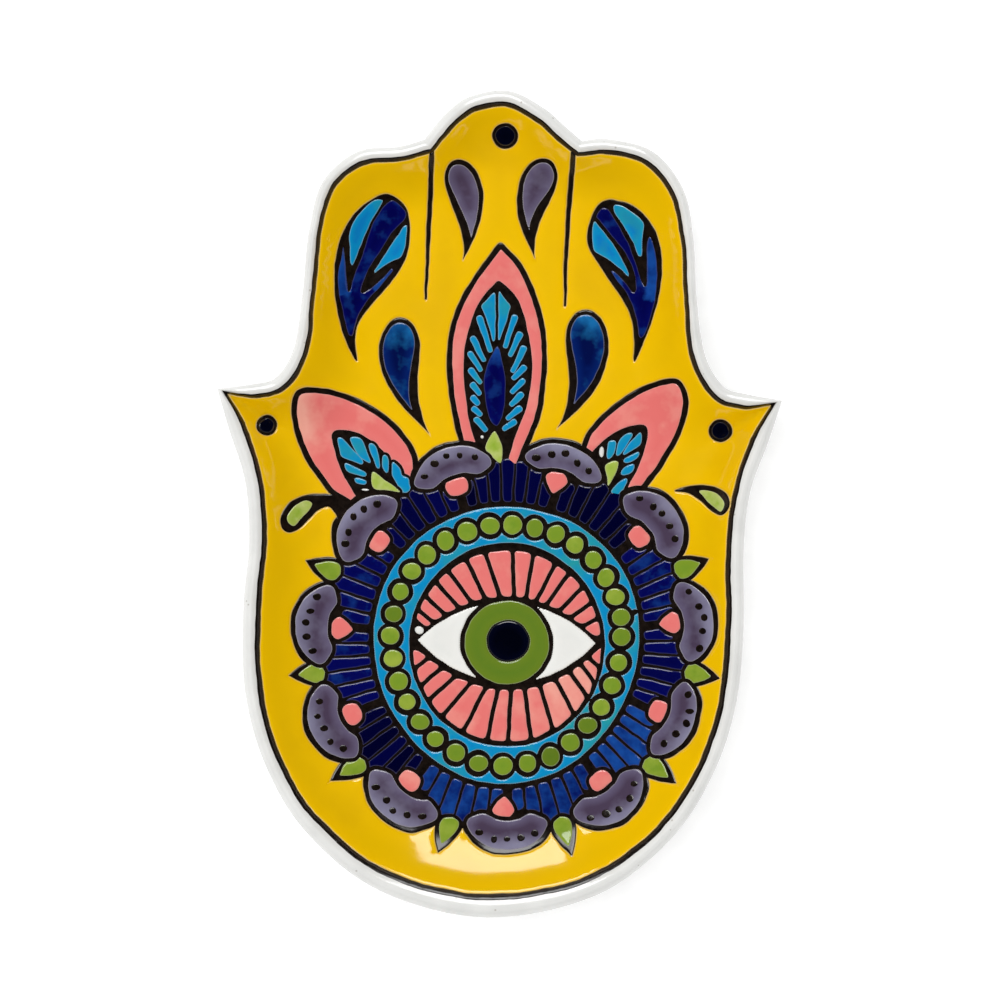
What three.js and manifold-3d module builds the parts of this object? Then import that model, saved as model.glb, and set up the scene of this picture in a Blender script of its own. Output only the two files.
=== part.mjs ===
// A hamsa trinket dish: a pressed ceramic hand with black resist lines and a pool of coloured glaze in each
// cell. Millimetres, +Z up. The hand lies flat with its fingers towards +Y. The origin is on the foot, under
// its middle.

import * as THREE from 'three';
import { mergeVertices } from 'three/addons/utils/BufferGeometryUtils.js';
import Module from 'manifold-3d';

const wasm = await Module();
wasm.setup();

// Driving dimensions of the body
const DISH_HEIGHT = 14; // foot to the crest of the rim
const FLOOR_HEIGHT = 5.5; // foot to the inside of the floor
const RIM_WIDTH = 2.9; // outer edge of the rim to the middle of the border line, at the palm
const RIM_EDGE_FALL = 2.2; // crest of the rim down to its widest part
const RIM_SHOULDER_FALL = 0.7; // crest of the rim down to its outer shoulder
const BELLY_HEIGHT = 5.9; // foot to the turn of the outer wall
const BORDER_FALL = 1.1; // crest of the rim down to the border line
const WALL_RUN = 12; // border line to the flat floor, seen from above
const WALL_HOLLOW = 1.6; // power of the inner wall's curve, where 1 would be straight
const FOOT_INSET = 3.6; // border line to the edge of the foot, seen from above
const FINGER_LIFT = 1.1; // the right outer finger stands this much higher and the left one lower
const PALM_SHIFT = 0.5; // the lower half of the palm lies this much to the left
const FINGER_SHIFT = 0.4; // the outer sides of the fingers lie this much to the left

// Driving dimensions of lines and glaze
const LINE_WIDTH = 1.0; // a drawn black line
const LINE_THICKNESS = 0.3; // top of the black lines and grounds above the body
const POOL_THICKNESS = 0.42; // a glaze pool on the black
const WEB_THICKNESS = 0.15; // thin run of glaze below another pool, which joins the two ends of its own
const NECK_WIDTH = 0.5; // narrow run of glaze that joins neighbouring cells of one colour
const SEAT_GAP = 0.08; // under each layer
const SIDE_GAP = 0.12; // between two pools, or between a pool and the line beside it
const FIELD_RUN = 0.5; // yellow left between the border line and what is drawn inside it

// Driving dimensions of the eye medallion
const MEDALLION_X = 2.6;
const MEDALLION_Y = -27;
const PETAL_COUNT = 11; // lilac scallops round the medallion
const PETAL_START = -88.8; // degrees, the scallop nearest the wrist
const GROUND_RADIUS = 35; // black ground under the fans and beads
const PALM_MARGIN = 10.5; // edge of that ground to the border line, at the widest part of the palm
const LEAF_GAP = 4.7; // between two lilac scallops, for the leaf
const FAN_CELLS = 6; // radial cells in each navy fan
const FAN_ANGLE = 26.8; // degrees that one navy fan spans
const RING_FALL = 0.3; // middle of the cyan ring below the middle of the medallion
const RING_HALF_WIDTH = 25.8; // cyan ring, outer edge
const RING_HALF_LENGTH = 27;
const RING_BAND = 7.4; // from the ring's outer edge to its inner edge
const BEAD_COUNT = 32;
const BEAD_GAP = 0.8; // between two green beads
const RAYS_ABOVE = 14;
const RAYS_BELOW = 14;
const RAY_SPREAD = 17; // degrees between the eye's length and the nearest ray
const EYE_RISE = 0.95; // middle of the eye above the middle of the ring
const EYE_HALF_HEIGHT = 8.5;
const EYE_END_GAP = 0.3; // ends of the eye to the edge of the rays
const IRIS_GAP = 0.3; // iris to the lids
const PUPIL_RADIUS = 3.95;

// The middle of the border line on the right half, from the middle finger's top to the wrist end of the palm.
// Each row has the line's place (x, y), the lean of the wall below it (x, y, in wall runs), the rim's share of
// its full width, and the share of the finger's lift.
const palm = GROUND_RADIUS + PALM_MARGIN; // half the width of the palm
const HAND_ROWS = [
  [0, 77.6, 0, -1, 0.9, 0],
  [6, 75.6, -0.15, -0.97, 0.9, -0.8],
  [10, 72.4, -0.3, -0.9, 0.9, -0.9],
  [14.2, 68.2, -0.33, -0.74, 0.9, 0],
  [20, 67.6, -0.2, -0.85, 0.85, 1],
  [27.5, 66.2, -0.45, -0.9, 0.85, 0.6],
  [33, 60.8, -0.7, -0.75, 0.75, 0],
  [35.3, 52, -0.85, -0.5, 0.68, 0],
  [36.2, 40, -0.9, -0.25, 0.7, 0],
  [37.6, 29, -0.95, -0.3, 0.8, 0],
  [41.6, 22, -1, -0.5, 0.85, 0],
  [palm + 2, 19.9, -1.19, -0.64, 0.85, 0],
  [palm + 7.9, 20.8, -1.5, -0.95, 0.5, 0],
  [palm + 4.1, 14.5, -1.18, -0.79, 1, 0],
  [palm + 0.6, 4, -0.99, -0.5, 1, 0],
  [palm - 0.5, -8, -0.98, -0.17, 1, 0],
  [palm + 0.1, -22, -1.02, 0, 1, 0],
  [palm - 0.8, -37, -1.01, 0.25, 1, 0],
  [palm - 4.7, -50, -0.91, 0.5, 1, 0],
  [palm - 12.5, -62, -0.73, 0.75, 1.1, 0],
  [19.4, -72, -0.45, 0.92, 1.25, 0],
  [0, -76, 0, 1, 1.38, 0],
];
const NOTCH_ROW = 3; // sharp corners of the outline
const THUMB_ROW = 12;
const OUTLINE_STEPS = 2; // outline points between two rows
const RIM_CREST = -0.5; // station of the rim's crest, rim edge -1 to border line 0
const WALL_STATIONS = [0.33, 0.66, 1]; // rings of the inner wall, border line 0 to floor 1

// Colours of the fired body and of the glazes
const WHITE = 0xecece4;
const BLACK = 0x1a1412;
const YELLOW = 0xe4b103;
const LILAC = 0x756b8c;
const PINK = 0xe47370;
const NAVY = 0x05084b;
const BLUE = 0x0a3f86;
const CYAN = 0x0892c4;
const GREEN = 0x82a528;
const PALE_GREEN = 0xbecd6e;
const EYE_WHITE = 0xecece6;

const rad = THREE.MathUtils.degToRad;
const vec = (x, y) => new THREE.Vector2(x, y);

// Outlines

// Smooth open run through a few points
function run(points, steps = 2) {
  return new THREE.SplineCurve(points.map(([x, y]) => vec(x, y))).getPoints((points.length - 1) * steps);
}

function ellipse([x, y], [rx, ry], sides) {
  return new THREE.EllipseCurve(x, y, rx, ry).getPoints(sides).slice(0, -1);
}

function circle(place, radius, sides) {
  return ellipse(place, [radius, radius], sides);
}

// A closed outline moved outwards by a distance, or inwards by a negative one
function grow(outline, distance) {
  const turn = THREE.ShapeUtils.isClockWise(outline) ? -1 : 1;
  const count = outline.length;
  const edgeNormal = (i) => {
    const edge = outline[(i + 1) % count].clone().sub(outline[i % count]).normalize();
    return vec(edge.y, -edge.x).multiplyScalar(turn);
  };
  return outline.map((point, i) => {
    const after = edgeNormal(i);
    const mitre = edgeNormal(i + count - 1).add(after).normalize();
    const reach = distance / Math.max(mitre.dot(after), 0.45);
    return point.clone().addScaledVector(mitre, reach);
  });
}

// A drop with a round head at its top and a bent tail that ends at its tip
function drop(top, tip, width, bend, sides = 9) {
  const axis = vec(tip[0] - top[0], tip[1] - top[1]);
  const across = vec(axis.y, -axis.x).normalize();
  const middle = vec((top[0] + tip[0]) / 2, (top[1] + tip[1]) / 2).addScaledVector(across, bend);
  const spine = new THREE.QuadraticBezierCurve(vec(...top), middle, vec(...tip));
  const taper = 1.4;
  const widest = 0.5 / (0.5 + taper);
  const profile = (t) => Math.sqrt(t) * (1 - t) ** taper;
  const left = [];
  const right = [];
  for (let k = 1; k < sides; k += 1) {
    const t = (k / sides) ** 1.6;
    const tangent = spine.getTangent(t);
    const half = (width / 2) * (profile(t) / profile(widest));
    right.push(spine.getPoint(t).add(vec(tangent.y, -tangent.x).multiplyScalar(half)));
    left.push(spine.getPoint(t).add(vec(-tangent.y, tangent.x).multiplyScalar(half)));
  }
  return [vec(...top), ...right, vec(...tip), ...left.reverse()];
}

const polygon = (points) => points.map(([x, y]) => vec(x, y));
const mirror = (points, shift = 0) => points.map(([x, y]) => [shift - x, y]);

// The hand

// How far the outline lies to the left at a height of the drawing
function leftShift(y) {
  const palmShare = Math.max(0, 1 - ((y + 47) / 40) ** 2);
  const fingerShare = Math.max(0, 1 - ((y - 45) / 22) ** 2);
  return PALM_SHIFT * palmShare + FINGER_SHIFT * fingerShare;
}

// Whole loop of rows, clockwise from the top: place, wall lean, outward normal and rim width
function handLoop() {
  const right = HAND_ROWS.map((row) => ({ row, side: 1 }));
  const left = HAND_ROWS.slice(1, -1).map((row) => ({ row, side: -1 })).reverse();
  const loop = [...right, ...left].map(({ row: [x, y, leanX, leanY, rim, lift], side }) => ({
    place: vec(side * x - leftShift(y), y + side * lift * FINGER_LIFT),
    lean: vec(side * leanX, leanY),
    rim,
  }));
  loop.forEach((station, i) => {
    const before = loop[(i + loop.length - 1) % loop.length].place;
    const along = loop[(i + 1) % loop.length].place.clone().sub(before).normalize();
    station.normal = vec(-along.y, along.x);
  });
  return loop;
}

const hand = handLoop();
const corners = [NOTCH_ROW, THUMB_ROW, hand.length - THUMB_ROW, hand.length - NOTCH_ROW];

// One outline of the hand, counter-clockwise, smooth between its sharp corners
function handOutline(place) {
  const points = hand.map(place);
  const outline = corners.flatMap((from, k) => {
    const last = k === corners.length - 1;
    const to = last ? corners[0] + hand.length : corners[k + 1];
    const stretch = [];
    for (let i = from; i <= to; i += 1) stretch.push(points[i % hand.length]);
    return new THREE.SplineCurve(stretch).getPoints((stretch.length - 1) * OUTLINE_STEPS).slice(0, -1);
  });
  return outline.reverse();
}

const borderOutline = handOutline(({ place }) => place);
const rimOutline = handOutline(({ place, normal, rim }) => {
  return place.clone().addScaledVector(normal, rim * RIM_WIDTH);
});
const floorOutline = handOutline(({ place, lean }) => place.clone().addScaledVector(lean, WALL_RUN));

// Ring of the dish at a station: -1 is the rim's outer edge, 0 the border line and 1 the edge of the flat floor
function handRing(station) {
  const far = station < 0 ? rimOutline : floorOutline;
  return borderOutline.map((point, i) => point.clone().lerp(far[i], Math.abs(station)));
}

// Stations of the rings inside the dish: crest of the rim, both edges of the border line, wall and floor
const lineOuter = -LINE_WIDTH / 2 / RIM_WIDTH;
const lineInner = LINE_WIDTH / 2 / WALL_RUN;
const fieldEdge = lineInner + SIDE_GAP / WALL_RUN;
const INSIDE_STATIONS = [RIM_CREST, lineOuter, fieldEdge, ...WALL_STATIONS];

// Height of the inside at a station: the rim falls to the border line, and the wall is hollow down to the floor
function insideHeight(station) {
  if (station < 0) return DISH_HEIGHT - BORDER_FALL * (1 - station / RIM_CREST) ** 1.6;
  const wall = DISH_HEIGHT - BORDER_FALL - FLOOR_HEIGHT;
  return FLOOR_HEIGHT + wall * (1 - station) ** WALL_HOLLOW;
}

// Solids

function solid(geometry) {
  geometry.deleteAttribute('normal');
  geometry.deleteAttribute('uv');
  const merged = mergeVertices(geometry, 1e-5);
  const vertProperties = new Float32Array(merged.attributes.position.array);
  const triVerts = new Uint32Array(merged.index.array);
  return new wasm.Manifold(new wasm.Mesh({ numProp: 3, vertProperties, triVerts }));
}

// Closed body through rings of equal count, each quad split along its shorter diagonal, with flat ends
function loft(rings) {
  const count = rings[0].points.length;
  const vertices = rings.flatMap(({ points, height }) => {
    return points.map((p) => new THREE.Vector3(p.x, p.y, height));
  });
  const index = [];
  for (let r = 0; r < rings.length - 1; r += 1) {
    for (let i = 0; i < count; i += 1) {
      const a = r * count + i;
      const b = r * count + ((i + 1) % count);
      const [c, d] = [b + count, a + count];
      const ascending = vertices[a].distanceTo(vertices[c]) < vertices[b].distanceTo(vertices[d]);
      if (ascending) index.push(a, b, c, a, c, d);
      else index.push(a, b, d, b, c, d);
    }
  }
  const top = (rings.length - 1) * count;
  THREE.ShapeUtils.triangulateShape(rings[0].points, []).forEach(([a, b, c]) => index.push(a, c, b));
  const lid = THREE.ShapeUtils.triangulateShape(rings[rings.length - 1].points, []);
  lid.forEach(([a, b, c]) => index.push(top + a, top + b, top + c));
  const geometry = new THREE.BufferGeometry().setFromPoints(vertices);
  geometry.setIndex(index);
  return solid(geometry);
}

// Upright prism of an outline, tall enough to pass through the whole dish
function prism(outline) {
  const options = { depth: 2 * DISH_HEIGHT, bevelEnabled: false };
  const geometry = new THREE.ExtrudeGeometry(new THREE.Shape(outline), options);
  geometry.translate(0, 0, -DISH_HEIGHT / 2);
  return solid(geometry);
}

const join = (solids) => wasm.Manifold.union(solids);
const prisms = (outlines) => join(outlines.map(prism));
const around = (outlines, distance) => prisms(outlines.map((outline) => grow(outline, distance)));

// Layer that follows the inside of the dish between two heights above it, out to the border line or a station
function skin(from, to, edge = fieldEdge) {
  const stations = INSIDE_STATIONS.filter((station) => station >= edge);
  const raised = (by) => stations.map((s) => ({ points: handRing(s), height: insideHeight(s) + by }));
  return loft([...raised(from).reverse(), ...raised(to)]);
}

// Layers of line and glaze: black on the body, pools on the black, and pools over another pool's thin run
const onBlack = LINE_THICKNESS + SEAT_GAP;
const overWeb = onBlack + WEB_THICKNESS + SEAT_GAP;
const poolTop = onBlack + POOL_THICKNESS;
const fieldSkin = skin(SEAT_GAP, poolTop);
const drawnRoom = prism(handRing(fieldEdge + FIELD_RUN / WALL_RUN));
const blackSkin = skin(SEAT_GAP, LINE_THICKNESS).intersect(drawnRoom);
const poolSkin = skin(onBlack, poolTop).intersect(drawnRoom);
const webSkin = skin(onBlack, onBlack + WEB_THICKNESS);
const overWebSkin = skin(overWeb, poolTop);

// The largest body of a solid: slivers that a crossing line cuts off are left bare
function mainBody(shape) {
  return shape.decompose().reduce((best, body) => (body.volume() > best.volume() ? body : best));
}

const dish = new THREE.Group();
function addPiece(name, shape, color, roughness = 0.18) {
  const { vertProperties, triVerts } = shape.getMesh();
  const geometry = new THREE.BufferGeometry();
  geometry.setAttribute('position', new THREE.BufferAttribute(new Float32Array(vertProperties), 3));
  geometry.setIndex(new THREE.BufferAttribute(new Uint32Array(triVerts), 1));
  geometry.computeVertexNormals();
  const mesh = new THREE.Mesh(geometry, new THREE.MeshStandardMaterial({ color, roughness, metalness: 0 }));
  mesh.name = name;
  dish.add(mesh);
}

// Body: foot, outer wall, rounded rim, inner wall and floor

function dishBody() {
  const outside = [
    [FOOT_INSET / WALL_RUN, 0],
    [-0.35, BELLY_HEIGHT],
    [-1, DISH_HEIGHT - RIM_EDGE_FALL],
    [-0.86, DISH_HEIGHT - RIM_SHOULDER_FALL],
  ];
  const inside = INSIDE_STATIONS.map((station) => [station, insideHeight(station)]);
  return loft([...outside, ...inside].map(([station, height]) => ({ points: handRing(station), height })));
}

addPiece('dish_body', dishBody(), WHITE, 0.25);

// Outlines that the yellow field stops at
const fieldStops = [];

// A pool on a black ground of its own, as two pieces
function poolOnGround(name, pool, line, color) {
  addPiece(name, poolSkin.intersect(prism(pool)), color);
  addPiece(`${name}_line`, blackSkin.intersect(prism(line)), BLACK);
  fieldStops.push(line);
}

// Painted dots

const DOTS = {
  finger_dot: [[0, 71.6], 2.5],
  left_thumb_dot: [[0.4 - palm, 14.5], 2.05],
  right_thumb_dot: [[palm - 2.5, 15.3], 2.3],
};
Object.entries(DOTS).forEach(([name, [place, radius]]) => {
  const outline = circle(place, radius, 10);
  addPiece(name, fieldSkin.intersect(prism(outline)), NAVY);
  fieldStops.push(outline);
});

// Lilac drops beside the middle finger, and small blue drops beside the lotus: top and tip of the black ground,
// its width and bend, and the end of the pool

const DROPS = {
  lilac_drop_left: [[-8.6, 66.5], [-7.7, 47.4], 7.5, -3.4, [-6.5, 51.2], LILAC],
  lilac_drop_right: [[7.2, 67.1], [5.9, 48.2], 7.6, 3.4, [4.8, 53], LILAC],
  blue_drop_left: [[-19.6, 35.7], [-13.6, 13.6], 7.7, 5.4, [-16.6, 17.4], BLUE],
  blue_drop_right: [[16.6, 38], [11.3, 15.4], 8.2, -5, [14.2, 19.2], BLUE],
};
Object.entries(DROPS).forEach(([name, [top, tip, width, bend, poolTip, color]]) => {
  const line = drop(top, tip, width, bend);
  const poolTop = [top[0], top[1] - LINE_WIDTH];
  const pool = drop(poolTop, poolTip, width - 2 * LINE_WIDTH, bend * 0.7);
  poolOnGround(name, pool, line, color);
});

// Feather drops: black ground, navy plume with two slivers, and two cyan vanes joined below the plume

const FEATHER_LINE = [[-28, 27.3], [-28.2, 31.7], [-24.7, 38.9], [-21.2, 43.2], [-18.8, 47.7], [-18.1, 53.5],
  [-19.3, 57.7], [-22.6, 59.8], [-25.7, 58.6], [-28.8, 56], [-31.4, 51.2], [-32.5, 45.2], [-32.1, 39],
  [-30.8, 33.2]];
const FEATHER_PLUME = [[-22.6, 58.3], [-20.2, 57.9], [-18.9, 56], [-21.6, 52.3], [-25.5, 46], [-26.9, 41.4],
  [-26.4, 41], [-23.6, 43.2], [-21.4, 45.4], [-23.2, 42.3], [-26, 38.9], [-28.6, 32.6], [-29.5, 32.6],
  [-31.5, 39.9], [-31.8, 43.9], [-30.9, 49.4], [-30.2, 45.5], [-29.6, 41], [-29.2, 41.4], [-27.3, 47.8],
  [-25, 54.7]];
const OUTER_VANE = [[-23.7, 58.2], [-25.6, 54], [-28.9, 46.1], [-29.5, 46.6], [-29.9, 51.5], [-28.6, 55.2],
  [-25.6, 58.3]];
const INNER_VANE = [[-18.8, 53.6], [-18.9, 50.4], [-19.8, 47.8], [-24.6, 44.7], [-23.3, 47.6], [-21.3, 50.8]];
const VANE_WEB = [[-28, 52.5], [-28.3, 50], [-21.8, 48], [-20.6, 50]];
const FEATHER_SIDES = { left: (points) => points, right: (points) => mirror(points, -0.8) };

Object.entries(FEATHER_SIDES).forEach(([side, set]) => {
  const drawn = [FEATHER_LINE, FEATHER_PLUME, OUTER_VANE, INNER_VANE, VANE_WEB];
  const [line, plume, outerVane, innerVane, vaneWeb] = drawn.map((points) => polygon(set(points)));
  addPiece(`feather_plume_${side}`, overWebSkin.intersect(prism(plume)), NAVY);
  const vanes = poolSkin.intersect(prisms([outerVane, innerVane])).subtract(prism(grow(plume, SIDE_GAP)));
  addPiece(`feather_vanes_${side}`, mainBody(vanes.add(webSkin.intersect(prism(vaneWeb)))), CYAN);
  addPiece(`feather_line_${side}`, blackSkin.intersect(prism(line)), BLACK);
  fieldStops.push(line);
});

// Medallion outlines

const petalTurn = 360 / PETAL_COUNT;
const petalAngle = (k) => PETAL_START + k * petalTurn;

// Points given across and outwards from the edge of the medallion's ground, turned to an angle in degrees
function radial(points, degrees) {
  const out = vec(Math.cos(rad(degrees)), Math.sin(rad(degrees)));
  const side = vec(-out.y, out.x);
  const place = vec(MEDALLION_X, MEDALLION_Y).addScaledVector(out, GROUND_RADIUS);
  return points.map(([across, along]) => {
    return place.clone().addScaledVector(side, across).addScaledVector(out, along);
  });
}

// Points given from the place where a direction from the medallion's middle meets the edge of its ground
function fromEdge(points, [x, y]) {
  const place = vec(MEDALLION_X, MEDALLION_Y).addScaledVector(vec(x, y), GROUND_RADIUS);
  return points.map((point) => vec(...point).add(place));
}

const bothSides = (half) => [...half, ...mirror(half.slice(1, -1)).reverse()];
const scallopHalf = GROUND_RADIUS * Math.sin(rad(petalTurn / 2)) - LEAF_GAP / 2;
const SCALLOP = bothSides([[0, 5.1], [0.56 * scallopHalf, 4.4], [0.95 * scallopHalf, 2.2], [scallopHalf, -0.8],
  [0.7 * scallopHalf, -2.2], [0, -0.5]]);
const LEAF = bothSides([[0, 0.2], [1.7, 1.2], [1.3, 3.8], [0, 6.2]]);
const LEAF_LINE = bothSides([[0, -1.6], [2.6, 0.4], [2.2, 3.8], [0, 7.9]]);
const LOTUS_GAPS = [4, 5, 6]; // gaps between scallops that a lotus petal fills instead of a leaf

const petals = Array.from({ length: PETAL_COUNT }, (_, k) => k);
const leafGaps = petals.filter((k) => !LOTUS_GAPS.includes(k));
const scallops = petals.map((k) => radial(SCALLOP, petalAngle(k)));
const leaves = leafGaps.map((k) => radial(LEAF, petalAngle(k + 0.5)));
const leafLines = leafGaps.map((k) => radial(LEAF_LINE, petalAngle(k + 0.5)));
const ground = circle([MEDALLION_X, MEDALLION_Y], GROUND_RADIUS, 33);
const scallopLines = scallops.map((outline) => grow(outline, LINE_WIDTH));
const scallopClear = around(scallops, LINE_WIDTH * 0.5);
const frontClear = around([ground, ...scallopLines], 0); // what lies over the feet of the lotus petals

// Lilac scallops and green leaves

scallops.forEach((outline, k) => addPiece(`lilac_scallop_${k + 1}`, poolSkin.intersect(prism(outline)), LILAC));
leaves.forEach((outline, k) => {
  addPiece(`leaf_${k + 1}`, mainBody(poolSkin.intersect(prism(outline)).subtract(scallopClear)), GREEN);
});

// Ellipses of the cyan ring, its bead chain and the rays

const RING_SIDES = 36;
const RING_PLACE = [MEDALLION_X, MEDALLION_Y - RING_FALL];
const ringOuter = [RING_HALF_WIDTH, RING_HALF_LENGTH];
const inwards = (radii, by) => radii.map((radius) => radius - by);
const ringInner = inwards(ringOuter, RING_BAND);
const beadOrbit = inwards(ringOuter, RING_BAND / 2);
const rayEdge = inwards(ringInner, LINE_WIDTH * 0.9);
const ringEllipse = ([rx, ry], extra = 0) => prism(ellipse(RING_PLACE, [rx + extra, ry + extra], RING_SIDES));
const onRing = ([rx, ry], degrees) => vec(
  RING_PLACE[0] + rx * Math.cos(rad(degrees)),
  RING_PLACE[1] + ry * Math.sin(rad(degrees)),
);

// Navy fans: radial cells between the cyan ring and the scallops, joined at their inner ends

function fanCells() {
  const pitch = FAN_ANGLE / FAN_CELLS;
  const depth = GROUND_RADIUS - RING_HALF_LENGTH;
  const start = Math.min(RING_HALF_WIDTH, RING_HALF_LENGTH) - LINE_WIDTH - GROUND_RADIUS;
  const half = (along) => (GROUND_RADIUS + along) * Math.sin(rad(pitch / 2)) - LINE_WIDTH * 0.35;
  return petals.flatMap((k) => Array.from({ length: FAN_CELLS }, (_, c) => {
    const away = c - (FAN_CELLS - 1) / 2;
    const fall = 0.4 * depth * (away / (FAN_CELLS / 2)) ** 2;
    const [inner, outer] = [start, -1.8 * LINE_WIDTH - fall];
    const cell = [[half(inner), inner], [half(outer), outer], [-half(outer), outer], [-half(inner), inner]];
    return radial(cell, petalAngle(k + 0.5) + away * pitch);
  }));
}
const fanStart = LINE_WIDTH * 0.6; // cyan ring to the fans
const fans = prisms(fanCells())
  .add(ringEllipse(ringOuter, fanStart + NECK_WIDTH))
  .subtract(ringEllipse(ringOuter, fanStart))
  .subtract(scallopClear);
addPiece('navy_fans', mainBody(poolSkin.intersect(fans)), NAVY);

// Cyan ring with its chain of green beads: the beads part it into two bands, joined where the chain is open

// A short straight run of glaze between two points
function neck(from, to, width) {
  const along = to.clone().sub(from).normalize();
  const side = vec(-along.y, along.x).multiplyScalar(width / 2);
  return [from.clone().add(side), from.clone().sub(side), to.clone().sub(side), to.clone().add(side)];
}
const beadTurn = 360 / BEAD_COUNT;
const beadRadius = ((Math.PI * (beadOrbit[0] + beadOrbit[1])) / BEAD_COUNT - BEAD_GAP) / 2;
const beadMiddles = Array.from({ length: BEAD_COUNT }, (_, k) => onRing(beadOrbit, 90 + k * beadTurn));
const beads = beadMiddles.map(({ x, y }) => circle([x, y], beadRadius, 8));
const beadNecks = beadMiddles.slice(1).map((middle, k) => neck(beadMiddles[k], middle, NECK_WIDTH));
addPiece('green_beads', poolSkin.intersect(prisms([...beads, ...beadNecks])), GREEN);

const bandHalf = beadRadius + 0.75 * LINE_WIDTH;
const beadBand = ringEllipse(beadOrbit, bandHalf).subtract(ringEllipse(beadOrbit, -bandHalf));
const openAngle = 90 - beadTurn / 2;
const openNeck = neck(onRing(ringInner, openAngle), onRing(ringOuter, openAngle), BEAD_GAP - 2.5 * SIDE_GAP);
const ringNeck = prism(openNeck);
const ring = ringEllipse(ringOuter).subtract(ringEllipse(ringInner));
const cyanShape = ring.subtract(beadBand).add(ringNeck.intersect(ring)).subtract(around(beads, SIDE_GAP));
addPiece('cyan_ring', mainBody(poolSkin.intersect(cyanShape)), CYAN);

// Eye: white between two lids and on below the green iris, dark pupil, and pink rays from the lids to the ring

const EYE_PLACE = [RING_PLACE[0], RING_PLACE[1] + EYE_RISE];
const eyeHalfLength = rayEdge[0] - EYE_END_GAP;
const lidRadius = (eyeHalfLength ** 2 + EYE_HALF_HEIGHT ** 2) / (2 * EYE_HALF_HEIGHT);
const lidDrop = lidRadius - EYE_HALF_HEIGHT;
function eyeOutline(steps = 8) {
  const reach = Math.asin(eyeHalfLength / lidRadius);
  const [x, y] = EYE_PLACE;
  const lid = (side) => Array.from({ length: steps }, (_, k) => {
    const turn = reach * (1 - (2 * k) / steps);
    return vec(x + side * lidRadius * Math.sin(turn), y + side * (lidRadius * Math.cos(turn) - lidDrop));
  });
  return [...lid(1), ...lid(-1)];
}
const eye = eyeOutline();
const iris = circle(EYE_PLACE, EYE_HALF_HEIGHT - IRIS_GAP, 20);
const pupil = circle(EYE_PLACE, PUPIL_RADIUS, 16);
const irisClear = prism(grow(iris, LINE_WIDTH * 0.6));
const eyeWhite = poolSkin.intersect(prism(eye)).subtract(irisClear).add(webSkin.intersect(prism(eye)));
addPiece('eye_white', mainBody(eyeWhite), EYE_WHITE);
addPiece('iris', overWebSkin.intersect(prism(iris)).subtract(prism(grow(pupil, SIDE_GAP))), GREEN);
addPiece('pupil', overWebSkin.intersect(prism(pupil)), NAVY);

// Distance from the ring's middle to a lid's arc, at an angle in degrees
function toLid(degrees) {
  const side = Math.sign(Math.sin(rad(degrees)));
  const ray = vec(Math.cos(rad(degrees)), Math.sin(rad(degrees)));
  const middle = vec(EYE_PLACE[0] - RING_PLACE[0], EYE_PLACE[1] - side * lidDrop - RING_PLACE[1]);
  const along = ray.dot(middle);
  return along + Math.sqrt(along ** 2 - middle.lengthSq() + lidRadius ** 2);
}
const toRayEdge = (degrees) => {
  return 1 / Math.hypot(Math.cos(rad(degrees)) / rayEdge[0], Math.sin(rad(degrees)) / rayEdge[1]);
};

// Pink rays of one lid, from an angle to an angle
function rayCells(count, from, to) {
  const pitch = (to - from) / count;
  const corner = (degrees, radius, turn) => {
    const turned = rad(degrees) + (turn * LINE_WIDTH * 0.4) / radius;
    return vec(RING_PLACE[0] + radius * Math.cos(turned), RING_PLACE[1] + radius * Math.sin(turned));
  };
  return Array.from({ length: count }, (_, k) => {
    const edges = [from + k * pitch, from + (k + 1) * pitch];
    const [innerA, innerB] = edges.map((edge) => toLid(edge) + LINE_WIDTH);
    const [outerA, outerB] = edges.map(toRayEdge);
    return [corner(edges[0], innerA, 1), corner(edges[0], outerA, 1), corner(edges[1], outerB, -1),
      corner(edges[1], innerB, -1)];
  });
}
const rayNeck = ringEllipse(rayEdge).subtract(ringEllipse(rayEdge, -NECK_WIDTH));
const rays = prisms([
  ...rayCells(RAYS_ABOVE, RAY_SPREAD, 180 - RAY_SPREAD),
  ...rayCells(RAYS_BELOW, 180 + RAY_SPREAD, 360 - RAY_SPREAD),
]).add(rayNeck).intersect(ringEllipse(rayEdge)).subtract(prism(grow(eye, SIDE_GAP)));
addPiece('eye_rays', mainBody(poolSkin.intersect(rays)), PINK);

// Lotus petals: pink band, cyan feathers, a pale leaf, and a navy core in the middle one, on the black ground.
// All points are given from the edge of that ground, in the petal's direction. The outer run goes from one foot
// over the tip to the other, the inner run comes back below the band, and the root is the black ground's end
// under the scallops. Each feather has its foot and its tip (x, y, x, y)

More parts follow.
